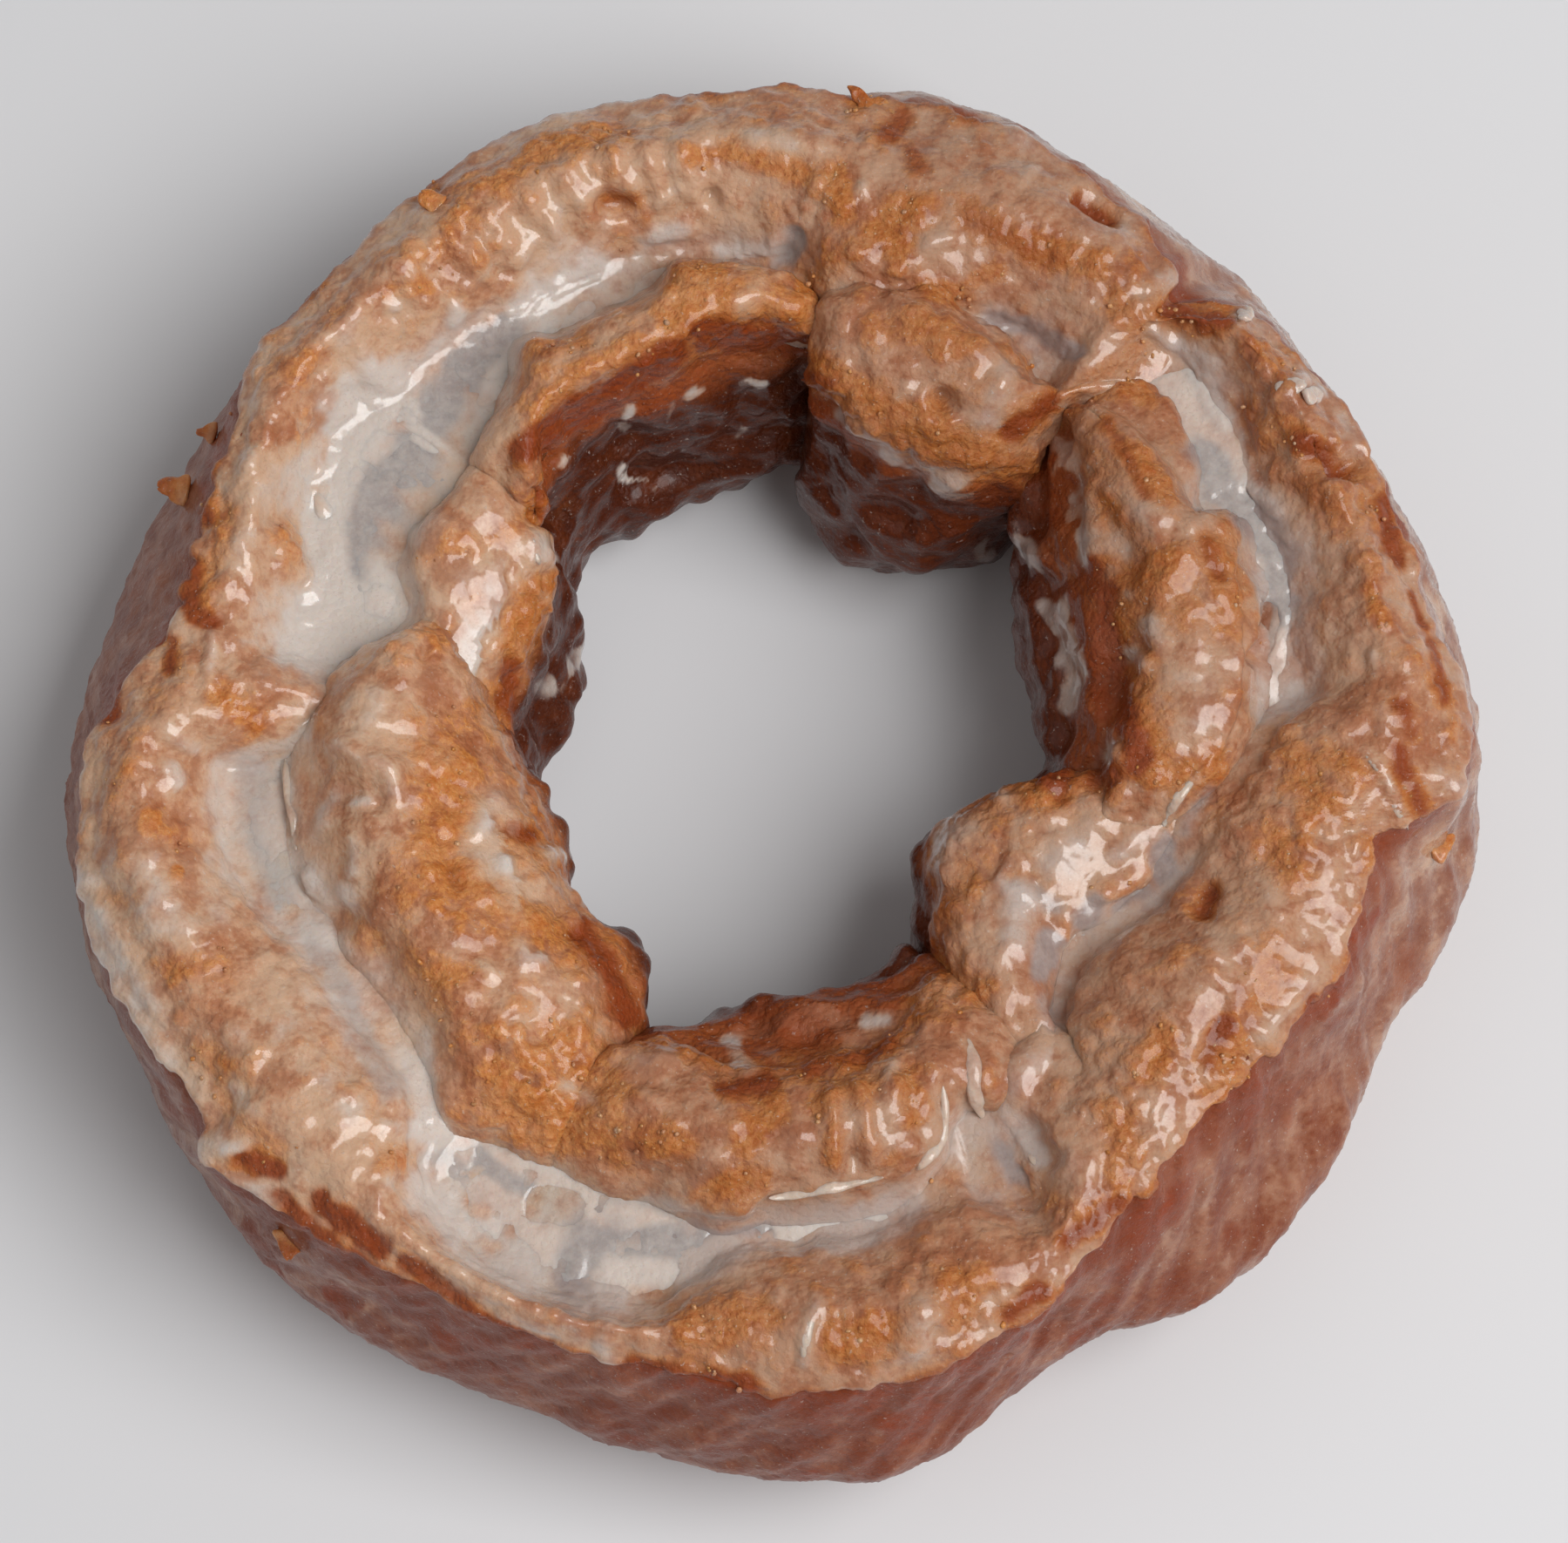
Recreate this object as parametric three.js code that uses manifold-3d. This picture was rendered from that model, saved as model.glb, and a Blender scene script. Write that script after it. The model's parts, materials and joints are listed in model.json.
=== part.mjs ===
// An old fashioned doughnut: a ring of cake dough whose upper side has cracked open in the fryer.
// The outer ring and the base are one swept body. A groove runs round its top, and inside the groove the
// crust has torn into six lobes that lean over the hole. The body and the lobes are joined into one solid.
//
// Units are millimetres and degrees. +Z is up, and the origin is on the table under the middle of the ring.
// Azimuth 0 is +X, and it grows towards +Y.

import * as THREE from "three";
import { mergeVertices } from "three/addons/utils/BufferGeometryUtils.js";
import Module from "manifold-3d";

// ---- driving dimensions --------------------------------------------------------------------------------

const SIDE_RADIUS = 46.5; // the widest place of the side wall
const SIDE_HEIGHT = 11; // how high above the table that place is
const CREST_RADIUS = 42.5; // the edge where the side wall turns into the torn top
const CREST_HEIGHT = 24.8;
const TOP_HEIGHT = 27; // the top of the outer ring
const TOP_WIDTH = 0.42; // where that top is, as a share of the way from the crest to the groove
const GROOVE_RADIUS = 35; // the foot of the slope from the outer ring into the groove
const GROOVE_FLOOR = 19;
const BASE_INNER_RADIUS = 27; // the flat ring that the doughnut rests on
const BASE_OUTER_RADIUS = 39;
const CORE_RADIUS = 25; // the inner wall of the swept body, which the lobes cover
const LOBE_FOOT_RADIUS = 27; // where a lobe's section closes, deep inside the swept body

const RING_STEPS = 120; // sections round the ring
const RING_POINTS = 22; // points round one section
const LOBE_STEP = 3.4; // degrees between the sections of a lobe
const LOBE_POINTS = 16;
const LOBE_END_POWER = 5; // how square a lobe's ends are: 2 is an ellipse

// ---- how the ring departs from a true one: [azimuth, departure in mm] ------------------------------------

const SIDE_LUMPS = [
  [5, 0.8], [28, -0.2], [48, 0.2], [66, 0.5], [105, 0.4], [140, -0.3], [156, -0.7], [180, 1.1],
  [205, -0.2], [235, -0.2], [250, -1.3], [262, -0.5], [277, 0.8], [287, -1.5], [297, -4.0], [308, -1.6],
  [322, -1.5], [336, -2.7], [351, 0.0],
];
const CREST_LUMPS = [
  [0, 1.3], [15, 0.1], [40, 0.1], [48, -3.0], [55, -1.4], [68, 0.7], [82, 0.9], [115, 1.7], [130, 0.6],
  [150, -0.6], [165, -3.1], [172, -2.2], [180, 1.5], [195, 2.4], [212, 1.1], [219, 2.6], [228, 0.9],
  [255, -0.5], [280, -0.4], [295, -1.5], [306, -4.6], [320, -5.7], [338, -3.8], [350, -4.3],
];
const GROOVE_LUMPS = [
  [6, 0.8], [24, 1.3], [38, 3.0], [47, 2.6], [54, -1.6], [70, -2.6], [90, 0.0], [104, 1.6], [140, 1.6],
  [160, -1.4], [174, -2.2], [182, 2.2], [196, 1.0], [215, -1.2], [232, 2.6], [247, 4.2], [257, 2.6],
  [268, -1.0], [295, -0.8], [308, -3.8], [322, -8.6], [344, -7.0], [355, -4.2],
];

// ---- the torn lobes --------------------------------------------------------------------------------------
// Each outline is [azimuth, radius]: outer is the edge at the groove, crest is where the top turns down into
// the hole, and hole is the furthest that the wall reaches into the hole. The heights belong to those three
// places, and crown is how far the top swells above the line from edge to crest.

const LOBES = [
  {
    span: [48, 90],
    outer: [[49, 35.5], [55, 31], [63, 31.3], [71, 32.8], [76, 34.6], [83, 34.8], [90, 31]],
    crest: [[49, 26], [58, 23.4], [70, 22.4], [90, 24]],
    hole: [[49, 21.5], [58, 18.8], [68, 17.8], [77, 18.6], [90, 22]],
    outerHeight: 24.8, crestHeight: 24.6, holeHeight: 11, crown: 2.4,
  },
  {
    span: [85, 138],
    outer: [[86, 31.4], [101, 33.2], [108, 31], [121, 31], [126, 29.3], [137, 27.4]],
    crest: [[86, 29], [93, 28.6], [107, 26.8], [127, 26.4], [137, 23]],
    hole: [[86, 24.4], [100, 23.2], [121, 22.2], [130, 20.8], [137, 19]],
    outerHeight: 25.8, crestHeight: 26, holeHeight: 9, crown: 1,
  },
  {
    span: [130, 173],
    outer: [[131, 28.4], [150, 27], [160, 25.6], [172, 27.5]],
    crest: [[131, 21], [150, 18.8], [172, 19.6]],
    hole: [[131, 20], [142, 16.9], [150, 16.2], [158, 16.5], [172, 18]],
    outerHeight: 23.2, crestHeight: 19.6, holeHeight: 11, crown: 1.4,
  },
  {
    span: [159, 316],
    outer: [
      [159, 25.4], [168, 27.8], [184, 31.3], [212, 30.2], [222, 30.6], [230, 32.6], [256, 30.8],
      [284, 30.3], [296, 28.2], [304, 28.6], [315, 26.5],
    ],
    crest: [
      [159, 21], [185, 18.4], [200, 17.8], [226, 19.2], [238, 21.6], [244, 24.4], [252, 22.4], [280, 21],
      [300, 19.6], [315, 18],
    ],
    hole: [
      [159, 19], [178, 16], [198, 14.9], [212, 15.4], [232, 16.6], [240, 18.4], [244, 21.6], [249, 19.4],
      [270, 17], [300, 15.4], [315, 14.6],
    ],
    outerHeight: 25, crestHeight: 25, holeHeight: 13, crown: 3,
  },
  {
    span: [307, 357],
    outer: [[307, 27], [318, 24.4], [325, 23.2], [340, 25.8], [357, 28.6]],
    crest: [[307, 18.4], [320, 17], [330, 16.4], [342, 17.2], [357, 20]],
    hole: [[307, 15], [320, 13.2], [330, 12.4], [340, 12.9], [348, 14.2], [357, 16.5]],
    outerHeight: 21.6, crestHeight: 19.8, holeHeight: 12, crown: 1.4,
  },
  {
    span: [345, 412],
    outer: [[345, 27.4], [356, 30.4], [378, 32.4], [386, 33.2], [390, 31.6], [400, 35.4], [411, 35.6]],
    crest: [[345, 21], [358, 24], [382, 24.4], [391, 25], [400, 28.4], [411, 30.6]],
    hole: [[345, 17.4], [370, 18], [390, 19.2], [400, 20.4], [411, 22]],
    outerHeight: 25.4, crestHeight: 25.6, holeHeight: 9.5, crown: 1.8,
  },
];

// ---- curves ----------------------------------------------------------------------------------------------

// A smooth curve through [x, y] knots that never swings past them: each knot's slope is the harmonic mean of
// the slopes on its two sides, and zero at a peak or a dip. Past its ends the curve is level.
function curveThrough(knots) {
  const slope = knots.slice(1).map(([x, y], i) => (y - knots[i][1]) / (x - knots[i][0]));
  const tangent = knots.map((_, i) => {
    const before = slope[i - 1] ?? 0;
    const after = slope[i] ?? 0;
    return before * after > 0 ? (2 * before * after) / (before + after) : 0;
  });
  return (x) => {
    if (x <= knots[0][0]) return knots[0][1];
    const i = knots.findIndex((knot) => knot[0] >= x) - 1;
    if (i < 0) return knots[knots.length - 1][1];
    const width = knots[i + 1][0] - knots[i][0];
    const t = (x - knots[i][0]) / width;
    return (
      knots[i][1] * (1 + 2 * t) * (1 - t) ** 2 +
      knots[i + 1][1] * t * t * (3 - 2 * t) +
      width * t * (1 - t) * (tangent[i] * (1 - t) - tangent[i + 1] * t)
    );
  };
}

// The same curve for a full turn: the last two knots are repeated before the first, and the first two after.
function curveRound(knots) {
  const before = knots.slice(-2).map(([x, y]) => [x - 360, y]);
  const after = knots.slice(0, 2).map(([x, y]) => [x + 360, y]);
  return curveThrough([...before, ...knots, ...after]);
}

// A closed section: a Catmull-Rom curve through [radius, height] corners, as count points evenly spaced.
function closedSection(corners, count) {
  const points = corners.map(([radius, height]) => new THREE.Vector3(radius, 0, height));
  return new THREE.CatmullRomCurve3(points, true, "catmullrom", 0.5).getSpacedPoints(count).slice(0, count);
}

// ---- solids ----------------------------------------------------------------------------------------------

// A closed skin over sections that stand at the given azimuths. A loop joins its last section to its first,
// and anything else is closed by a fan over each end.
function skin(sections, azimuths, isLoop) {
  const count = sections[0].length;
  const positions = [];
  sections.forEach((section, i) => {
    const angle = THREE.MathUtils.degToRad(azimuths[i]);
    section.forEach((p) => positions.push(p.x * Math.cos(angle), p.x * Math.sin(angle), p.z));
  });
  const faces = [];
  const lastRow = isLoop ? sections.length : sections.length - 1;
  for (let i = 0; i < lastRow; i++) {
    const here = i * count;
    const next = ((i + 1) % sections.length) * count;
    for (let j = 0; j < count; j++) {
      const k = (j + 1) % count;
      faces.push(here + j, next + j, next + k, here + j, next + k, here + k);
    }
  }
  if (!isLoop) {
    const end = (sections.length - 1) * count;
    for (let j = 1; j < count - 1; j++) {
      faces.push(0, j, j + 1);
      faces.push(end, end + j + 1, end + j);
    }
  }
  return new THREE.BufferGeometry()
    .setAttribute("position", new THREE.Float32BufferAttribute(positions, 3))
    .setIndex(faces);
}

// The outer ring, the groove's floor and the base, as one swept body.
function ringBody() {
  const sideAt = curveRound(SIDE_LUMPS);
  const crestAt = curveRound(CREST_LUMPS);
  const grooveAt = curveRound(GROOVE_LUMPS);
  const azimuths = Array.from({ length: RING_STEPS }, (_, i) => (i * 360) / RING_STEPS);
  const sections = azimuths.map((azimuth) => {
    const side = SIDE_RADIUS + sideAt(azimuth);
    const crest = CREST_RADIUS + crestAt(azimuth);
    const crestHeight = CREST_HEIGHT + 0.25 * (CREST_RADIUS - crest);
    const groove = GROOVE_RADIUS + grooveAt(azimuth);
    return closedSection(
      [
        [BASE_INNER_RADIUS, 0],
        [(BASE_INNER_RADIUS + BASE_OUTER_RADIUS) / 2, 0],
        [BASE_OUTER_RADIUS, 0],
        [side - 2.6, 4],
        [side, SIDE_HEIGHT],
        [(side + crest) / 2 + 0.6, (SIDE_HEIGHT + crestHeight) / 2 + 0.6],
        [crest, crestHeight],
        [crest + TOP_WIDTH * (groove - crest), TOP_HEIGHT],
        [groove + 0.8, 23.4],
        [groove - 0.8, 20.2],
        [groove - 3.2, GROOVE_FLOOR],
        [CORE_RADIUS + 1, GROOVE_FLOOR - 1],
        [CORE_RADIUS, 9],
      ],
      RING_POINTS,
    ).map((p) => p.setZ(Math.max(p.z, 0)));
  });
  return skin(sections, azimuths, true);
}

// One torn lobe. Its sections shrink towards a spine inside the swept body at both ends.
function lobeBody(lobe) {
  const [start, end] = lobe.span;
  const outerAt = curveThrough(lobe.outer);
  const crestAt = curveThrough(lobe.crest);
  const holeAt = curveThrough(lobe.hole);
  const steps = Math.ceil((end - start) / LOBE_STEP);
  const azimuths = [];
  const sections = [];
  for (let i = 1; i < steps; i++) {
    const along = -Math.cos((Math.PI * i) / steps);
    const azimuth = (start + end) / 2 + (along * (end - start)) / 2;
    const size = (1 - Math.abs(along) ** LOBE_END_POWER) ** (1 / LOBE_END_POWER);
    const outer = outerAt(azimuth);
    const crest = crestAt(azimuth);
    const hole = holeAt(azimuth);
    const spine = new THREE.Vector3(LOBE_FOOT_RADIUS, 0, lobe.holeHeight);
    const corners = [
      [outer + 0.2, 17],
      [outer, lobe.outerHeight - 1.6],
      [outer - 1.2, lobe.outerHeight + 0.4],
      [(outer + crest) / 2, (lobe.outerHeight + lobe.crestHeight) / 2 + lobe.crown],
      [crest + 0.8, lobe.crestHeight + 0.4],
      [hole + 0.4 * (crest - hole), lobe.holeHeight + 0.6 * (lobe.crestHeight - lobe.holeHeight)],
      [hole, lobe.holeHeight],
      [hole + 1.4, 4.5],
      [hole + 5, 1],
      [LOBE_FOOT_RADIUS, 4],
    ];
    azimuths.push(azimuth);
    sections.push(closedSection(corners, LOBE_POINTS).map((p) => p.lerp(spine, 1 - size)));
  }
  return skin(sections, azimuths, false);
}

// ---- joining ---------------------------------------------------------------------------------------------

const wasm = await Module();
wasm.setup();

function toSolid(geometry) {
  const merged = mergeVertices(geometry, 1e-4);
  const solid = new wasm.Manifold(
    new wasm.Mesh({
      numProp: 3,
      vertProperties: new Float32Array(merged.attributes.position.array),
      triVerts: new Uint32Array(merged.index.array),
    }),
  );
  if (solid.volume() < 0) throw new Error("a skin is inside out");
  return solid;
}

function toGeometry(solid) {
  const mesh = solid.getMesh();
  return new THREE.BufferGeometry()
    .setAttribute("position", new THREE.BufferAttribute(new Float32Array(mesh.vertProperties), 3))
    .setIndex(new THREE.BufferAttribute(new Uint32Array(mesh.triVerts), 1));
}

const whole = LOBES.reduce((solid, lobe) => solid.add(toSolid(lobeBody(lobe))), toSolid(ringBody()));

const friedCrust = new THREE.MeshStandardMaterial({ color: 0xb5754c, roughness: 0.45, metalness: 0 });
const doughnut = new THREE.Mesh(toGeometry(whole), friedCrust);
doughnut.name = "doughnut";

const part = new THREE.Group();
part.add(doughnut);

export default part;
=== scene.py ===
"""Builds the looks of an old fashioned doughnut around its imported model."""

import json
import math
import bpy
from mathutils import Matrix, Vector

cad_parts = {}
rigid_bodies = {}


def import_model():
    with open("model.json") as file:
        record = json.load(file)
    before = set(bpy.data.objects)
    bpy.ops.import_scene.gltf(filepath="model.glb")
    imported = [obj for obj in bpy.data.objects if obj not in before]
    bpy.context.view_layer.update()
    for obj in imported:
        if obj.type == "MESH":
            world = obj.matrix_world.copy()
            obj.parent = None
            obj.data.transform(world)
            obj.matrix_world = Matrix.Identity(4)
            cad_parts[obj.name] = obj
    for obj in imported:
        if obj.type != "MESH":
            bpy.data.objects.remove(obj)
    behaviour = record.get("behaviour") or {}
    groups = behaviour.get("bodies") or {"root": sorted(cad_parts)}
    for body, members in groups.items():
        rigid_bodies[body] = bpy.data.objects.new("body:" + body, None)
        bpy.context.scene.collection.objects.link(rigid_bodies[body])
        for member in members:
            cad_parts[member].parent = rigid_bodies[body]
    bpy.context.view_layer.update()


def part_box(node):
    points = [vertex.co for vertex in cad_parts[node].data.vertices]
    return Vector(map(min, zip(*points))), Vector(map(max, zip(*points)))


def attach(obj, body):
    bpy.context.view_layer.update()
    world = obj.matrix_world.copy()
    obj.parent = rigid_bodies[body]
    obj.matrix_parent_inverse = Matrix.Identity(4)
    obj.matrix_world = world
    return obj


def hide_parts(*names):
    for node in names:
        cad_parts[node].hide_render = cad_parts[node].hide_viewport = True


bl_info = {
    "name": "Old Fashioned Doughnut",
    "version": (1, 0, 0),
    "blender": (4, 5, 0),
    "location": "View3D > Sidebar > Doughnut",
    "description": "Makes a glazed old fashioned doughnut: its ring, torn lobes, glaze, flakes and crumbs",
    "category": "Add Mesh",
}

import bpy
import numpy as np
from bpy.props import FloatProperty, FloatVectorProperty, IntProperty, PointerProperty
from mathutils import Vector

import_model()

# All shapes are worked out in millimetres and put into the meshes in metres.
# An azimuth is in degrees, 0 at +X and growing towards +Y. A radius is from the hole's middle.
MM = 0.001
NODE = "doughnut"
BODY = "root"
TURN = 360.0

LOW, HIGH = (np.array(corner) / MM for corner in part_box(NODE))
RING_HEIGHT = HIGH[2] - LOW[2]
# The wrinkles of the side are laid out on a cylinder of this radius.
SIDE_RADIUS = (HIGH[0] - LOW[0]) / 2 - 0.8

# ---- the ring's outlines: (azimuth, radius or height) ----------------------------------------------------

SIDE = (
    (0, 46.9), (6, 47.1), (15, 46.7), (25, 46.2), (36, 46.2), (50, 46.7), (66, 46.9), (90, 46.8),
    (120, 46.9), (140, 46.3), (152, 45.9), (163, 46), (174, 47.2), (182, 47.4), (192, 47.1), (205, 46.3),
    (228, 46.3), (240, 45.7), (250, 45.1), (260, 45.8), (270, 46.6), (277, 47.1), (282, 46.5), (288, 44.6),
    (295, 42.8), (299, 42.5), (304, 43.9), (311, 45), (322, 45), (330, 44.1), (337, 43.8), (343, 44.9),
    (350, 46.3),
)
CREST = (
    (0, 44.4), (10, 42.8), (20, 42.5), (30, 42.8), (41, 42.3), (45.5, 40.6), (48.5, 38.2), (50.5, 40.6),
    (60, 42.2), (68, 43.3), (79, 42.9), (83, 43.6), (88, 44), (100, 43.5), (113, 44.3), (126, 43.1),
    (144, 41.6), (152, 40.4), (158, 39.5), (165, 38.7), (171, 39.2), (174.5, 41.3), (178, 42.6),
    (181, 44.1), (195, 45), (206, 44.3), (215.5, 43.4), (218, 45.3), (223, 44.3), (231, 43), (242, 42.1),
    (262, 42), (275, 42.5), (293, 41), (300, 39.5), (306, 37.9), (320, 36.7), (331, 38.1), (341, 38.8),
    (349, 38.3), (352, 40.8), (356, 44.2),
)
GROOVE = (
    (0, 33.6), (6, 35.8), (11, 35.5), (17, 36.3), (25, 36), (32, 37), (40, 38), (46.5, 37.8), (49, 36),
    (53, 33.2), (60, 33.4), (70, 32.2), (78, 32), (86, 34), (95, 35.6), (106, 36.4), (120, 36.2),
    (135, 36.5), (141, 37.4), (149, 36.6), (155, 35.2), (161, 33.6), (168, 33.7), (175, 32.6), (179, 34.4),
    (182, 37), (190, 37.2), (199, 36), (210, 34.2), (224, 34), (229, 36.2), (234, 38.6), (245, 39.8),
    (256, 39), (261, 36.9), (268, 34.1), (280, 34.2), (290, 33.1), (297, 35.3), (303, 32.8), (311, 30.5),
    (316, 26.6), (326, 25.6), (333, 27.2), (341, 28.6), (350, 30.2), (356, 32),
)
# The groove's floor is low under the pools and rises where the lobes have stayed joined to the ring.
FLOOR = (
    (0, 22.4), (5, 19.6), (25, 19.2), (43, 19.3), (48, 22.5), (51, 23.6), (54, 20.4), (62, 19.6),
    (68, 21.8), (74, 24), (81, 24.2), (86, 22.2), (91, 19.8), (100, 19), (130, 19), (160, 19.2),
    (170, 20.4), (175, 23.4), (179, 23.2), (183, 19.6), (198, 19.8), (207, 21.6), (226, 22), (234, 20),
    (250, 19.2), (280, 19.2), (291, 21.2), (297, 20.6), (304, 23.6), (311, 23), (316, 19.4), (335, 19),
    (343, 20.6), (349, 22.4),
)
TOP = (
    (0, 26.8), (20, 26.4), (40, 26.6), (48, 25.4), (56, 26.2), (75, 27), (95, 26.4), (120, 26.2), (150, 26),
    (170, 25.4), (180, 26.4), (200, 26.6), (218, 26.8), (240, 25.6), (262, 25.8), (280, 26.4), (300, 26),
    (315, 26.6), (330, 27), (345, 26.4),
)
BASE_INNER_RADIUS = 27.0
BASE_OUTER_RADIUS = 39.0
# Height of the widest part of the side.
SIDE_HEIGHT = 11.0
# The crest has this height at this radius, and stands a little higher where it lies further in.
CREST_HEIGHT = 24.4
CREST_RADIUS = 42.5
# How far the dough swells between the crest and the side's widest part.
BORDER_BULGE = 0.8
# How far under the glaze the dough lies in a pool, and how softly it comes up out of it.
POOL_SINK = 0.25
POOL_FILLET = 1.1
# How far the skin of the pools reaches into the dough on its two sides, how thick it is, and how many points
# go across its top.
POOL_INTO_RING = 2.4
POOL_INTO_LOBES = 1.4
POOL_DEPTH = 1.5
POOL_ROWS = 42
# The glaze's level where there can be no pool, far below the dough.
NO_POOL = -20.0
# How much of the torn top's relief the side has.
SIDE_TORN = 0.3
# Radius and height of the line inside the dough that the lobes' ends shrink to.
LOBE_SPINE = (27.5, 13.0)

# How much glaze veils the skin of the side, how well fried that skin is, and how well fried the torn dough
# is: (azimuth, amount).
SIDE_GLAZE = (
    (0, 0.5), (60, 0.6), (100, 0.3), (140, -0.5), (172, -0.5), (195, 0.1), (230, -0.1), (255, -0.5),
    (278, -0.5), (292, -0.3), (312, -0.1), (335, 0.1),
)
SIDE_FRIED = (
    (0, 0.1), (100, 0.2), (140, 0.25), (172, 0.2), (230, 1.1), (290, 1.1), (325, 0.4),
)
WELL_FRIED = (
    (0, 0.6), (30, 0.8), (75, 0.75), (92, 0.2), (130, 0), (232, 0), (250, 0.45), (275, 0.75), (300, 0.65),
    (345, 0.6),
)

# The upper side bulges out to here: (azimuth, radius, height).
SHOULDER = (
    (0, 46.2, 16), (10, 45.2, 17), (20, 44.8, 18), (32, 44.9, 18), (42, 45.3, 18), (52, 45.8, 18),
    (60, 46.5, 18), (70, 47.2, 18.5), (78, 47.5, 19), (83, 46.8, 18.5), (88, 46.4, 18), (100, 46.3, 18),
    (115, 46.4, 18), (130, 45, 17.5), (145, 44.4, 17.5), (160, 43.8, 17.5), (172, 44.8, 17.5),
    (182, 45.7, 17.5), (195, 46.4, 17.5), (210, 46, 17.5), (228, 45.4, 17), (245, 44.2, 17),
    (262, 44.8, 17), (276, 45.6, 17), (288, 43.6, 17), (296, 42, 17), (305, 42.4, 16), (318, 41.8, 16),
    (330, 41.6, 16), (342, 42.6, 16), (352, 44.6, 16),
)
# How far down from the crest to that bulge the torn top reaches, as a share: (azimuth, share).
BORDER = (
    (0, 0.16), (20, 0.18), (42, 0.14), (50, 0.12), (62, 0.2), (80, 0.3), (90, 0.32), (104, 0.42),
    (118, 0.3), (130, 0.22), (144, 0.2), (150, 0.1), (170, 0.1), (176, 0.14), (184, 0.16), (196, 0.2),
    (206, 0.18), (212, 0.12), (217, 0.3), (222, 0.14), (240, 0.1), (256, 0.14), (290, 0.1), (310, 0.08),
    (345, 0.08),
)

# ---- the torn lobes --------------------------------------------------------------------------------------
# Each line runs along the lobe through (azimuth, radius, height): its edge at the groove, the lines over its
# top, the crest where it turns down into the hole, the lines down its wall, and the foot of that wall. span
# is where the lobe starts and ends, and ends are the powers that round off its start and its end.

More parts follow.
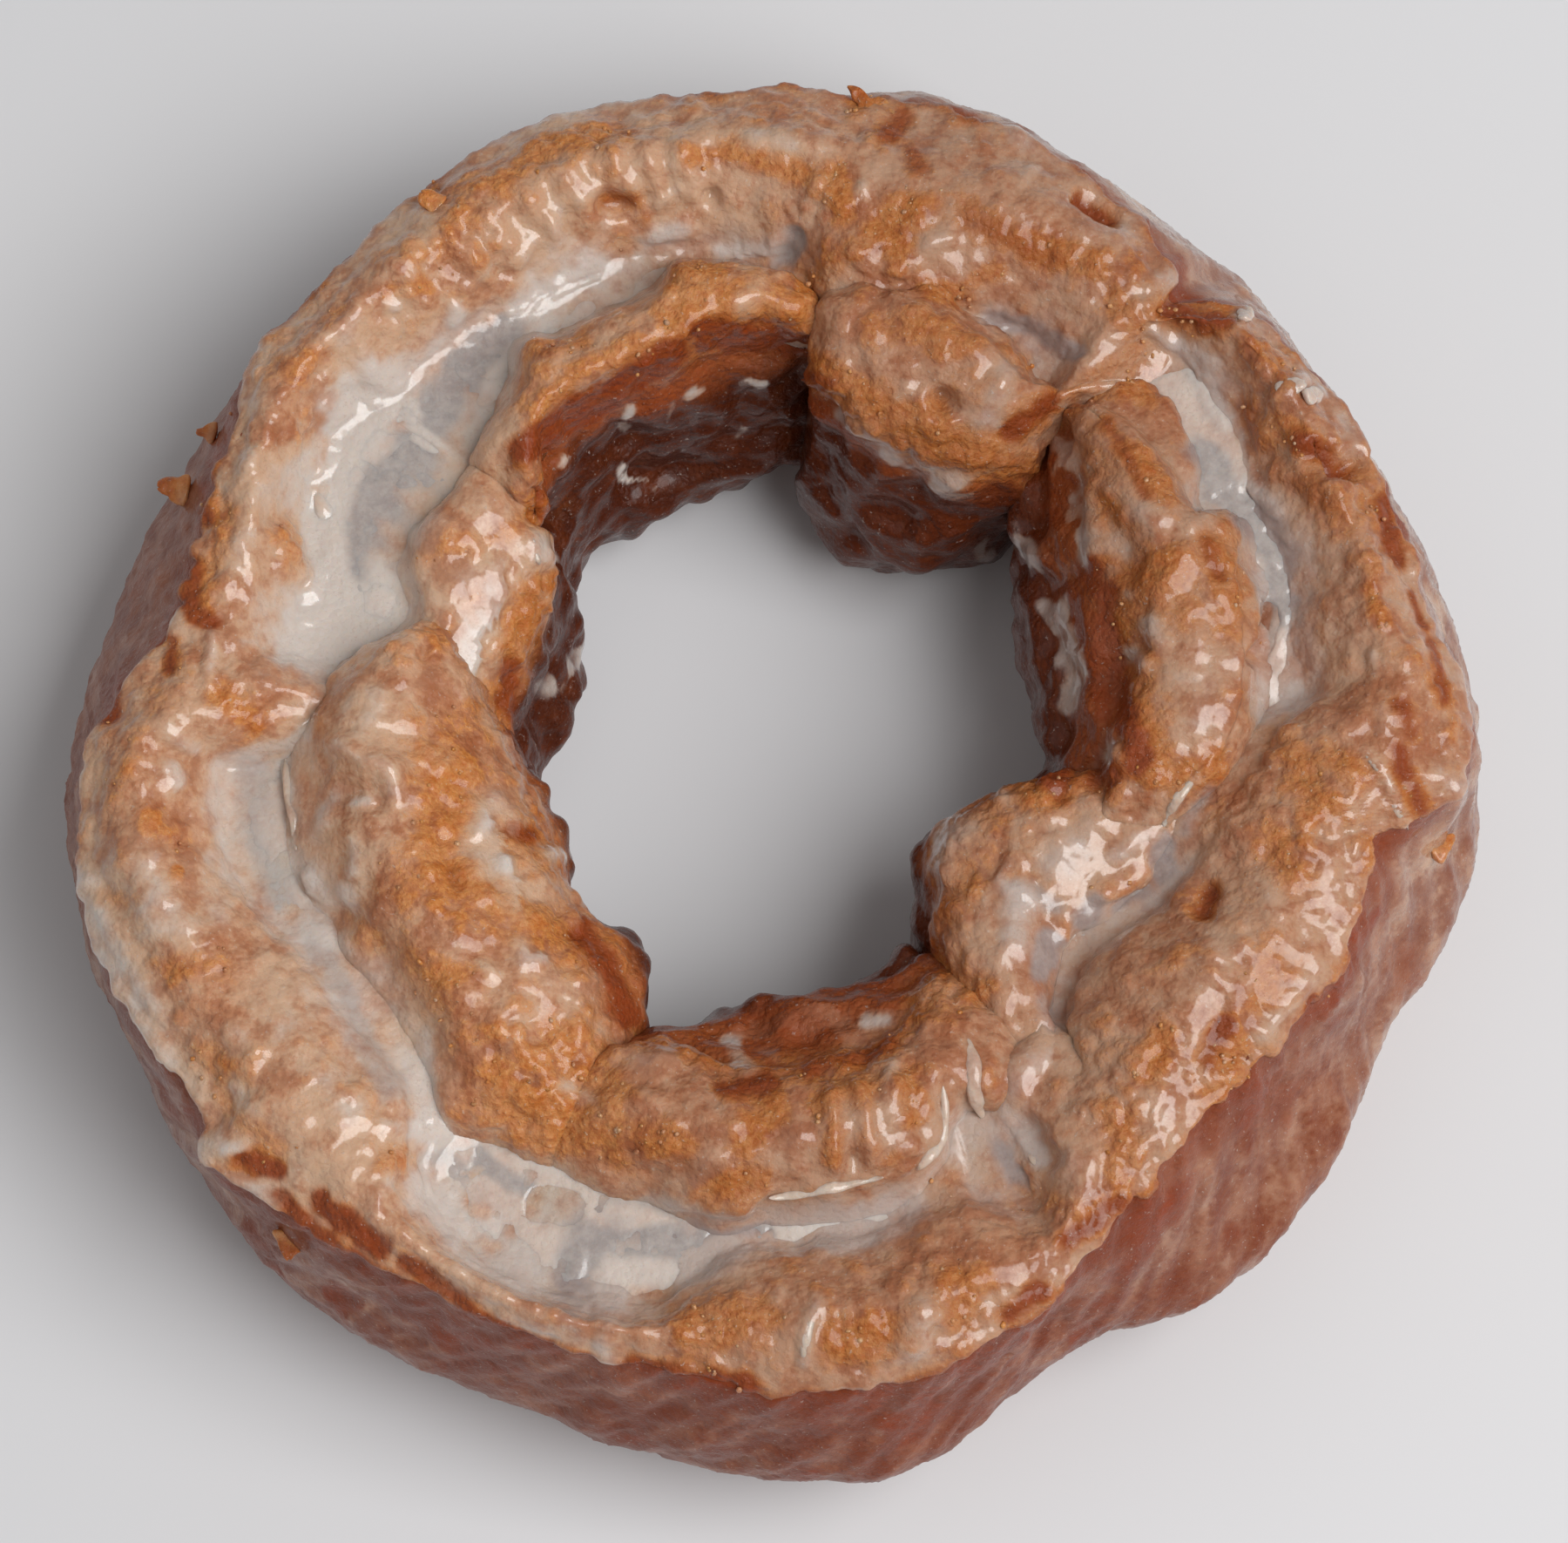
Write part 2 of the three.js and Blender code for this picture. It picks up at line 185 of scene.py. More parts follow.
LOBES = {
    "first": dict(
        span=(49.5, 84.9), ends=(5, 9),
        edge=((49, 35, 24), (52.5, 31.6, 24), (56, 30.4, 24.2), (61, 31.2, 24.8), (66, 31.6, 25.4),
              (71.5, 32.9, 25.8), (75, 31.4, 26), (80, 31.2, 26), (85, 30.6, 25.6), (89, 31, 25.2)),
        top=(((49, 31, 25), (58, 28, 26.2), (68, 28.5, 26.8), (80, 28.5, 26.6), (89, 29, 25.8)),
             ((49, 28.6, 24.6), (58, 25.8, 25.4), (68, 25.4, 26), (80, 26.4, 26), (89, 28.2, 25.4))),
        crest=((49, 26.2, 23.6), (56, 23.6, 23.2), (64, 22.6, 23.4), (73, 22.6, 23.8), (80, 24, 24.2),
               (86, 25.8, 24.4), (89, 27.5, 24)),
        wall=(((49, 23, 19.5), (58, 21.6, 19.5), (70, 21.6, 19.8), (80, 23.2, 20.5), (89, 26, 20)),
              ((49, 22.6, 15.5), (58, 20.6, 15.5), (70, 20.4, 15.5), (82, 22.5, 16), (89, 24.4, 15.5))),
        foot=((49, 21.6, 10), (58, 19.4, 10), (67, 17.9, 10), (75, 18.4, 10), (82, 20.3, 10),
              (89, 22.2, 10)),
    ),
    "second": dict(
        span=(84.2, 137.2), ends=(9, 6),
        edge=((86, 31, 25.4), (91, 31.8, 25.8), (97, 32.6, 26.2), (101, 33.1, 26.2), (104.5, 31.6, 26),
              (109, 30.8, 25.8), (117, 30.7, 25.4), (121, 31.2, 25.2), (124, 29.7, 25.2), (130, 28.6, 25),
              (137, 27.6, 24.4)),
        top=(((86, 29.8, 26.1), (100, 30.4, 27.1), (110, 28.8, 26.8), (120, 28.8, 26.4), (130, 26.8, 25.6),
              (137, 24.6, 24.2)),),
        crest=((86, 28.6, 25.4), (91, 28.9, 25.8), (100, 28, 26.6), (106, 26.9, 26.6), (118, 26.7, 26.4),
               (126, 26.4, 25.8), (131, 24.6, 25), (134, 22.6, 24), (137, 21.4, 22.2)),
        wall=(((86, 27.6, 20), (95, 27.2, 20), (105, 26.2, 20.5), (118, 25.9, 20.5), (127, 25.4, 20.5),
               (132, 22.4, 20.5), (137, 20.6, 19)),
              ((86, 26.2, 15), (95, 26.2, 15), (105, 25.7, 16), (115, 25.5, 16), (121, 24.4, 15.5),
               (127, 23.6, 15), (132, 22, 15), (137, 20, 15)),
              ((86, 25.2, 10.5), (95, 24.6, 10.5), (105, 24.4, 11), (118, 23.2, 11), (127, 22.6, 11),
               (132, 21.2, 11), (137, 19.6, 11))),
        foot=((86, 24.6, 5), (96, 23.4, 5), (108, 22.9, 6), (116, 22.3, 7), (121, 22.2, 7), (130, 20.9, 7),
              (137, 19.2, 7)),
    ),
    "third": dict(
        span=(133, 185), ends=(5, 9),
        edge=((133, 28.2, 23.2), (139, 27.3, 23.5), (147, 26.9, 23.6), (153, 26.8, 23.2), (157, 25.4, 23),
              (160, 25, 22.8), (165, 26.2, 22.6), (170, 27.2, 22), (174, 28, 21.4), (185, 27, 19)),
        top=(((133, 24, 23.4), (145, 23.2, 23.2), (158, 22.4, 22.8), (170, 22.5, 21.4), (185, 22.4, 18)),),
        crest=((133, 20.6, 21.6), (140, 19.6, 20.8), (148, 18.9, 20.2), (156, 18.8, 19.6), (164, 19.2, 19),
               (174, 18.8, 17.6), (185, 18.6, 16.2)),
        wall=(((133, 19.8, 15), (146, 17.6, 15), (156, 17, 14.5), (166, 17.2, 14), (176, 17.2, 13.6),
               (185, 17.8, 13)),),
        foot=((133, 19, 9), (139, 17.6, 8.5), (146, 16.6, 8), (154, 15.9, 8), (160, 15.5, 8),
              (168, 16.1, 8.5), (176, 16.2, 9), (185, 17, 9)),
    ),
    "fourth": dict(
        span=(158.6, 247.6), ends=(6, 6),
        edge=((158, 24.8, 23.6), (163, 25.9, 24.2), (168, 27.8, 24.6), (173, 29.6, 24.2), (178, 31, 23.6),
              (190, 31.4, 23.4), (200, 31, 23.4), (203, 30.4, 23.6), (207, 31, 23.8), (212, 30.4, 23.6),
              (221, 30.6, 23.8), (226, 31.4, 24.6), (230.5, 32.7, 24.8), (238, 31.8, 24.8),
              (248, 31.4, 24.8)),
        top=(((158, 23.6, 25.4), (168, 25.4, 26.6), (180, 27.4, 26.9), (195, 27, 27.1), (210, 26.8, 27.2),
              (225, 27.8, 27), (238, 28.4, 26.4), (248, 28.2, 26)),
             ((158, 22.6, 25.2), (168, 23, 26.2), (180, 23, 26), (195, 22.6, 26), (210, 22.6, 26.2),
              (225, 23.8, 26.4), (238, 25.4, 25.8), (248, 26.4, 25.4))),
        crest=((158, 21.6, 23.6), (166, 20.8, 23.6), (172, 19.7, 22.6), (180, 18.2, 21.8),
               (190, 17.1, 21.4), (204, 16.8, 21.4), (214, 17.3, 21.8), (222, 18.4, 22.8),
               (230, 20.1, 23.8), (238, 21.8, 24.2), (243, 23, 24), (248, 24.2, 24.2)),
        wall=(),
        foot=((158, 19.6, 14), (168, 18.2, 13), (180, 16.4, 14), (190, 15.3, 15), (197, 15, 15.5),
              (208, 15.4, 15.5), (214, 15.8, 16), (222, 15.9, 17), (231, 15.2, 18), (236, 15.6, 18),
              (240, 16.8, 18), (243.5, 19.2, 18.5), (248, 21.5, 18.5)),
    ),
    "fifth": dict(
        span=(234, 311), ends=(4, 6),
        edge=((234, 32, 24.8), (239, 31.6, 24.8), (250, 31.2, 24.6), (255, 30.6, 24.6), (264, 31.4, 25),
              (270, 30.6, 25), (284, 30.4, 25.2), (290, 29.6, 25.2), (293, 27.8, 25), (296, 27, 24.8),
              (300, 28.2, 24.6), (311, 27.6, 24)),
        top=(((239, 28.2, 26), (252, 27.6, 26.6), (266, 27.6, 26.8), (280, 27.2, 26.8), (292, 25.4, 26.2),
              (302, 24, 25), (311, 23, 24)),
             ((239, 26.2, 25.8), (252, 25, 26.2), (266, 25.2, 26.4), (280, 24.8, 26.4), (292, 23.2, 25.4),
              (302, 21.2, 24.2), (311, 20, 23.2))),
        crest=((239, 24.4, 25), (244, 23.2, 24.8), (250, 22.4, 24.6), (262, 23.4, 25), (270, 23.2, 25),
               (280, 22.8, 24.8), (290, 22, 24.2), (298, 20.4, 23.2), (305, 18.6, 22.4),
               (311, 17.8, 21.8)),
        wall=(((239, 23.4, 21.5), (244, 22, 21.5), (250, 20.6, 21.5), (262, 20.6, 21.6), (270, 20.4, 21.6),
               (280, 20, 21.4), (290, 19.4, 21.2), (298, 17.8, 21), (305, 16.6, 20.8), (311, 15.9, 20.4)),),
        foot=((239, 22, 16), (244, 20.8, 16.5), (249, 19, 17.5), (256, 17.4, 18), (263, 16.6, 18),
              (270, 16.2, 18), (276, 16.5, 18), (281, 15.6, 18), (286, 16.1, 18), (291, 15.8, 17.5),
              (297, 14.9, 17), (305, 13.9, 17), (311, 13.7, 16.5)),
    ),
    "sixth": dict(
        span=(303, 358), ends=(5, 5),
        edge=((303, 27.8, 24), (312, 26.6, 23.4), (318, 24, 22.2), (325, 22.8, 21.6), (332, 24, 21.8),
              (340, 25.2, 22), (348, 27.2, 22.8), (358, 29.2, 23.6)),
        top=(((303, 23, 24.2), (316, 20.2, 23.4), (326, 18.8, 22.8), (338, 19.6, 22.8), (348, 21.5, 23.2),
              (358, 23.5, 23.4)),),
        crest=((303, 18.6, 22.8), (316, 16, 22), (326, 14.4, 21.2), (336, 14, 21.2), (345, 15.2, 21.6),
               (358, 19, 22.2)),
        wall=(),
        foot=((303, 14.4, 17), (310, 13.6, 17), (316, 12.8, 16.6), (321, 11.8, 16.2), (326, 11.1, 16),
              (331, 10.8, 16), (337, 11, 16), (343, 11.8, 16), (350, 13.2, 16), (358, 16.6, 15.5)),
    ),
    "seventh": dict(
        span=(342, 411.8), ends=(6, 5),
        edge=((342, 23.6, 23.2), (348, 26.4, 24), (355, 29, 25), (360, 30.2, 25.2), (368, 30.9, 25.4),
              (373, 31.8, 25.4), (380, 32.3, 25.6), (386, 33.2, 25.6), (388.5, 31, 25), (391.5, 32.2, 23.8),
              (396, 34.4, 23.6), (401, 35.4, 23.6), (408, 35.9, 23.8), (412, 35, 24)),
        top=(((342, 22.6, 24), (360, 29.2, 25.8), (380, 31, 26.2), (387, 31, 26), (391, 31.2, 24.6),
              (400, 32, 24.4), (412, 32, 24.4)),
             ((342, 22, 24.2), (360, 27.8, 26), (380, 29.6, 26.6), (390, 30.2, 26.4), (400, 31, 26),
              (412, 31.2, 25)),
             ((342, 21, 24), (360, 25.4, 26), (372, 27, 26.7), (390, 28.6, 26.8), (400, 29.8, 26.4),
              (412, 30.8, 25))),
        crest=((342, 19.8, 22.6), (350, 22, 24), (356, 22.6, 25), (361, 22.9, 25.2), (366, 24.2, 25.6),
               (372, 25.3, 26), (378, 26, 26.2), (384, 26.6, 26.2), (391, 27.2, 26), (396, 27.6, 26),
               (402, 28.8, 25.8), (407, 30.2, 25.4), (412, 30.6, 24.6)),
        wall=(((342, 18.6, 20), (350, 20.4, 21), (360, 21.9, 22), (375, 22, 22.2), (390, 22.7, 22.4),
               (396, 24, 22.4), (404, 26.4, 22.4), (412, 28.6, 22)),
              ((342, 17.4, 18.5), (350, 18.4, 18.5), (360, 19.3, 19), (372, 20.4, 19.6), (384, 20.8, 19.6),
               (396, 21.6, 19.2), (404, 23.4, 18.6), (412, 25.4, 18.4))),
        foot=((342, 16.2, 15), (350, 16.2, 15), (360, 17.6, 15), (372, 18.1, 15), (384, 18.6, 15),
              (390, 19.4, 15), (396, 20.6, 14.6), (404, 22.4, 14), (412, 24, 13)),
    ),
}

# Height of the pooled glaze round the groove: (azimuth, height). Where the dough of the groove stands higher,
# there is no pool.
GLAZE_LEVEL = (
    (0, 21.3), (8, 22.3), (18, 22.8), (40, 22.7), (50, 22), (62, 21.9), (75, 22), (90, 21.4), (100, 21.1),
    (165, 21.1), (178, 21.3), (190, 21.7), (205, 22.5), (218, 23.3), (228, 22.8), (236, 21.8), (285, 21.8),
    (296, 22.4), (305, 21.6), (315, 20.9), (343, 20.8), (352, 20.8),
)

# ---- marks -----------------------------------------------------------------------------------------------
# Each mark is a soft stroke: half width in mm, strength, and the (azimuth, radius) places it runs through.
# They lie on a level plane at MARK_HEIGHT and go through the dough along lines that lean back.

MARK_HEIGHT = 24.0
MARK_LEAN = 0.287
# A mark is gone at the first of these shares of its half width, and full inside the second. Noise moves both
# by MARK_RAG at most.
MARK_EDGE = (1.4, 0.1)
MARK_RAG = 0.35

# White marks are thick glaze, and many of them are painted highlights: white laid where the glaze glints.
WHITE_GLAZE_AND_GLINT_MARKS = (
    # on the pools
    (0.5, 1, (137.4, 33.2), (139.4, 31.4), (139, 29.4)), (0.8, 0.8, (15, 32.6), (18, 33)),
    (0.6, 0.8, (25, 36.4), (29, 35.3)), (0.9, 0.8, (36, 36.8), (43, 38.2)),
    (0.5, 0.9, (44, 38), (46, 37.4), (48, 37.4)), (0.7, 0.8, (27.5, 32.6), (27.5, 30.2)),
    (0.8, 0.8, (90, 34.3), (96, 33.6)), (0.8, 0.8, (100, 36), (103, 36)),
    (1.2, 1, (110, 34.8), (120, 34.2)), (1.8, 1, (140, 34.8), (148, 34.4), (156, 32.8)),
    (2.6, 1, (161, 31.5), (166, 31), (171, 32)), (1.6, 0.9, (160, 28), (167, 28.6)),
    (0.9, 0.7, (119, 31.9), (128, 30.6)), (0.3, 0.9, (183, 32), (194, 32)),
    (0.8, 0.9, (204, 33.2), (206, 32.6)), (0.4, 0.8, (197.5, 31.4), (200, 31.6)),
    (1.3, 1, (229, 34.7), (231, 34.6)), (2.4, 0.8, (234, 39.5), (240, 38.6), (245, 40.5)),
    (1.4, 0.8, (246, 41.6), (252, 41.6)), (1.3, 0.8, (254, 36.8), (254.5, 39.5)),
    (1.2, 0.9, (256, 36.6), (261, 36.4), (265, 34.8)), (0.8, 0.8, (240, 32.4), (250, 31.8), (266, 31.7)),
    (1.5, 0.6, (272, 32.6), (285, 32.6)), (1.1, 0.6, (275, 34.4), (282, 34.4)),
    (1, 0.9, (340.5, 23.8), (343, 24.4), (345, 25.2)), (0.3, 0.9, (346, 25.9), (351, 26.4), (354, 27.4)),
    # drapes and smears on the ring, and painted highlights: white dabs where it glints
    (0.5, 0.9, (33, 42.6), (33.4, 42)), (0.6, 1, (35, 42), (34.7, 40.2)),
    (0.7, 0.8, (43, 43.6), (43, 41.4)), (1.2, 0.8, (50.6, 41), (51.6, 38.8)),
    (1.2, 0.8, (56, 40.6), (59.4, 40.4)), (0.5, 0.8, (66.6, 42.4), (66.8, 41.4)),
    (1.2, 0.9, (86, 41.2), (92, 41)), (0.7, 0.8, (72, 36), (73.5, 35.2)),
    (0.5, 0.8, (81.5, 38.2), (82, 37.4)), (0.5, 0.8, (99.7, 40.4), (100, 39.4)),
    (0.4, 0.8, (103, 40.6), (103.8, 39.4)), (0.6, 0.8, (100, 38.4), (102, 37.8)),
    (0.7, 0.8, (108, 39.8), (109.5, 39.6)), (0.8, 0.8, (111.6, 39.4), (112.8, 38.2)),
    (0.6, 0.8, (115.5, 38.2), (117, 37.6)), (0.6, 0.8, (120, 37.8), (123.6, 37.6)),
    (0.8, 0.6, (123, 42), (124, 41)), (0.7, 0.9, (129, 39.3), (130.4, 39)),
    (0.6, 0.9, (126, 36.8), (127, 36.2)), (1.2, 0.7, (134, 40.2), (137, 39.7)),
    (1.5, 0.8, (142, 43), (145, 41.8), (147, 40.6)), (1.2, 0.8, (136.5, 37.6), (136.8, 35.6)),
    (1.4, 0.8, (140, 38.6), (143, 37.8), (142.6, 35.8)), (0.6, 0.9, (151, 39.2), (152, 39)),
    (1.4, 0.7, (150, 37.4), (156, 37.5), (164, 37.6)), (1.3, 0.6, (164, 35.6), (170, 35.4)),
    (0.5, 0.9, (170, 37.2), (175, 37)), (1.3, 0.9, (172.4, 44.6), (174, 43.2)),
    (1, 0.7, (162, 40.2), (170, 39.8)), (1, 1, (179.6, 39.4), (181, 38.2)),
    (0.7, 1, (183.4, 39.4), (185, 39.2)), (0.7, 0.6, (177, 41.4), (179, 41)),
    (2, 0.8, (191, 41.8), (197, 41.2), (199, 40)), (1.4, 0.7, (193.5, 38.6), (199, 38)),
    (0.7, 0.5, (193, 45), (197, 44.5), (201, 44), (207, 43.2)), (1, 0.6, (210, 39.6), (212, 39.2)),
    (1.4, 0.6, (212, 37.2), (223, 37)), (0.8, 0.8, (214, 41.8), (217.5, 41.6)),
    (0.7, 0.8, (218.5, 44.4), (219, 43.6)), (0.8, 0.9, (229.6, 38.6), (231.4, 40.6)),
    (0.7, 0.8, (226, 36.2), (226.4, 36.2)), (0.9, 0.8, (254.6, 41.5), (256.4, 43.2), (257, 44.6)),
    (0.6, 0.9, (272.6, 41), (273, 39), (274, 37.8)), (1.4, 1, (281.6, 40.6), (283.6, 39.2)),
    (0.5, 0.7, (270, 37.2), (270.3, 37)), (0.7, 0.8, (303, 38), (303.2, 37.8)),
    (1.6, 0.6, (302, 35.6), (304, 34.4)), (1.6, 0.7, (312.4, 36.2), (315.4, 34.4)),
    (0.7, 0.8, (320, 35.6), (320.6, 35.2)), (1.4, 0.5, (328, 31.6), (336, 32)),
    (1.1, 0.6, (340, 34), (342.4, 33)), (0.7, 1, (327, 36.8), (331, 37.2), (335.6, 38.1)),
    (0.35, 0.9, (347.6, 38), (353, 37.4)), (1.6, 0.5, (0, 36), (2, 34.4)),
    (0.35, 1, (348, 41.8), (352, 41), (356, 39.3), (358.4, 38)), (0.4, 0.9, (300.6, 33.2), (300.8, 31.2)),
    (0.9, 0.9, (355, 44.4), (356.6, 43.2)), (0.5, 0.9, (0.5, 39.3), (2.4, 39.2)),
    (0.5, 0.8, (7.4, 42.2), (8.4, 42)), (0.4, 0.8, (7, 39.2), (8, 39.2)),
    # on the lobes, many of them painted highlights: white dabs where glints of light shine, raised a little
    # so that real light catches them too
    (1.2, 1, (58.6, 29.4), (58.6, 27.4), (57.8, 25.9)), (0.5, 0.9, (70.2, 25.2), (70.6, 24.8)),
    (0.9, 0.9, (92, 30.6), (94.6, 29.8)), (0.4, 0.9, (87.6, 31.6), (90, 31.4)),
    (1.2, 0.6, (55, 21.3), (66, 20.8), (74, 21.6), (79.6, 22.8)), (0.4, 0.8, (92, 24.7), (95.6, 24.7)),
    (0.5, 0.9, (101.6, 24.8), (104.6, 24.4)), (0.4, 0.8, (106.6, 24.2), (108.6, 23.4)),
    (0.5, 0.9, (112.8, 24.7), (115.8, 24.1)), (0.5, 0.9, (116, 20.2), (118.6, 20.8)),
    (0.35, 0.8, (114.6, 19.7), (115.8, 19.3)), (0.35, 0.8, (119, 21.6), (120, 21.2)),
    (0.35, 0.7, (96, 22), (97.4, 21.6)), (0.5, 0.9, (126, 23.9), (127.6, 23.6)),
    (2.8, 0.25, (140, 24.4), (150, 23.6), (158, 22.8)), (0.9, 0.9, (147, 26.2), (151, 26.6)),
    (1, 0.8, (141.4, 21), (142.2, 20)), (1.3, 0.9, (160.6, 20), (164, 19.8)),
    (0.6, 0.8, (160.6, 18.2), (161.4, 18.1)), (0.5, 0.7, (148, 18.2), (148.6, 18)),
    (0.9, 0.45, (148, 15), (160, 14.7), (168, 15.8)), (2.4, 0.55, (172, 28.6), (180, 28.4)),
    (0.8, 0.95, (187.6, 29), (191.6, 29.6)),
    (0.6, 0.9, (181.6, 28), (184.2, 26.6), (185.8, 25.3), (190, 24.8)),
    (0.5, 0.9, (189.6, 28), (189.4, 26.6)), (0.5, 0.95, (194.6, 28), (199, 28.5)),
    (1.4, 0.8, (176, 25.9), (180, 26.6)), (1, 0.8, (182.8, 22), (184.6, 22)),
    (0.7, 0.9, (194.4, 19.2), (197.4, 19.8), (199, 20.4)), (0.9, 0.85, (194, 18.9), (200.6, 18.3)),
    (0.6, 0.85, (203.4, 21.2), (206, 21.4)), (0.6, 0.85, (206.4, 19.8), (208, 19.9)),
    (0.7, 0.95, (209.2, 16.8), (210.6, 16.4)), (0.7, 0.9, (220.6, 21.8), (223.4, 22.3), (225, 21.5)),
    (0.4, 0.9, (219, 24.3), (222, 24.2)), (1.3, 0.6, (231, 22), (234, 20.6)),
    (0.9, 0.8, (201.4, 29.2), (203, 29.3)), (1.1, 0.8, (249.4, 23.6), (251.6, 23)),
    (0.8, 0.85, (262, 20.9), (263.6, 21.6), (265.4, 22.4)), (1.1, 0.75, (260, 30.8), (261.4, 28.6)),
    (1.2, 0.5, (271.4, 28), (273, 25.4)), (0.8, 0.75, (284.4, 27.8), (285.6, 25.8)),
    (0.8, 0.55, (279.4, 27.4), (280.2, 25.4)), (0.6, 0.75, (287, 20.1), (290, 20.5)),
    (0.5, 0.9, (239.4, 27), (241, 26.9)), (0.4, 0.8, (243, 26.9), (244, 26.8)),
    (0.5, 0.85, (263.3, 26.3), (264, 26.1)), (0.5, 0.85, (272.3, 25.8), (272.8, 25.3)),
    (0.5, 0.8, (287.8, 23.6), (289, 23.2)), (2.4, 0.5, (2, 28.2), (8, 27.2)),
    (0.8, 0.85, (14, 25.7), (17, 25.6)), (0.6, 0.9, (10.6, 24.6), (13.6, 23.9)),
    (0.4, 0.9, (21.8, 25.2), (22.2, 25)), (1.3, 0.9, (31, 28.3), (36.6, 28)),
    (1.6, 0.6, (29, 26.3), (33, 26)), (0.9, 0.7, (31, 24), (34.6, 24.4)),
    (1.6, 0.35, (36, 24.8), (42, 26.6), (46, 28.2)),
    (1.1, 1, (6, 19.3), (12, 19.9), (20, 20.4), (26, 20.1)), (1.1, 0.5, (28, 19.8), (36, 20.5)),
    (0.6, 0.85, (37, 21.2), (42.5, 21.8)), (0.9, 0.5, (38, 19.8), (44, 19.4)),
    (1.6, 0.75, (315, 21.2), (320.6, 20.2)), (1.3, 0.85, (324.6, 20), (327, 18.4)),
    (1.8, 0.85, (332.6, 20.6), (338, 20.6), (343.6, 21.2)),
    (1.7, 0.85, (322, 14.9), (328, 14.1), (333, 13.9)), (1.1, 0.5, (336, 13), (343, 13.4)),
    (0.9, 0.55, (344, 15.4), (351, 15.2)), (0.5, 0.9, (298, 19.9), (302, 19.6)),
    (0.9, 0.5, (303.6, 27.9), (307.6, 27.6)), (0.7, 0.9, (356.2, 22.2), (357.4, 22.2)),
    (0.5, 0.8, (356.6, 27.2), (357.4, 27.4)),
)
# Grey film marks. Their grey is partly painted shade of the dark hollows under the glaze film.
GREY_FILM_AND_SHADE_MARKS = (
    (1.7, 1, (15, 34.6), (20, 35.4), (25, 34.6), (30, 34), (34, 34.4)), (0.9, 0.5, (36, 36.2), (42, 37.4)),
    (1.7, 0.5, (184, 34.2), (191, 34.8), (199, 34.4)), (1.2, 0.5, (206, 33), (215, 33.4), (224, 34.4)),
    (0.9, 0.9, (53, 33), (58, 32.8), (63, 32.2)),
    (1.9, 1, (123, 33.4), (129, 32.9), (135, 31.8), (139, 30.6), (143, 30.4)),
    (2.3, 1, (142, 30.8), (147, 31.3), (153, 30.9)), (1.4, 1, (153, 30.6), (159, 29.6)),
    # The first mark on the next line is a painted shadow along the third lobe's shore.
    (0.9, 0.6, (140.6, 28.6), (144, 28.2)), (1.7, 1, (250.6, 39.4), (250, 37.4), (251, 35.6)),
    (1.7, 1, (252, 35.4), (258, 34.8), (263, 34.2)), (0.8, 1, (263, 34.2), (269, 33.2)),
    (0.9, 0.8, (236, 34.2), (242.4, 34.4)), (1.3, 0.6, (232, 36), (235, 35.4)),
    (1, 0.5, (251, 32.4), (258, 32.2)), (1.2, 0.8, (297.4, 33.4), (297.6, 31.4)),
    (1.2, 1, (317.6, 23.2), (321, 22.4)), (1.1, 0.9, (327, 23.6), (330.4, 23.8)),
    (0.9, 0.7, (327, 21.2), (328, 19.4)), (1.3, 1, (339.6, 27), (343.6, 26.2)),
    (0.8, 0.7, (331.6, 25.2), (336, 26.4)), (0.8, 0.6, (346, 27.4), (352, 28.2)),
    (0.9, 0.5, (312, 26.4), (314, 24.6)), (1.2, 0.7, (88, 34.6), (88.8, 33.2)),
)
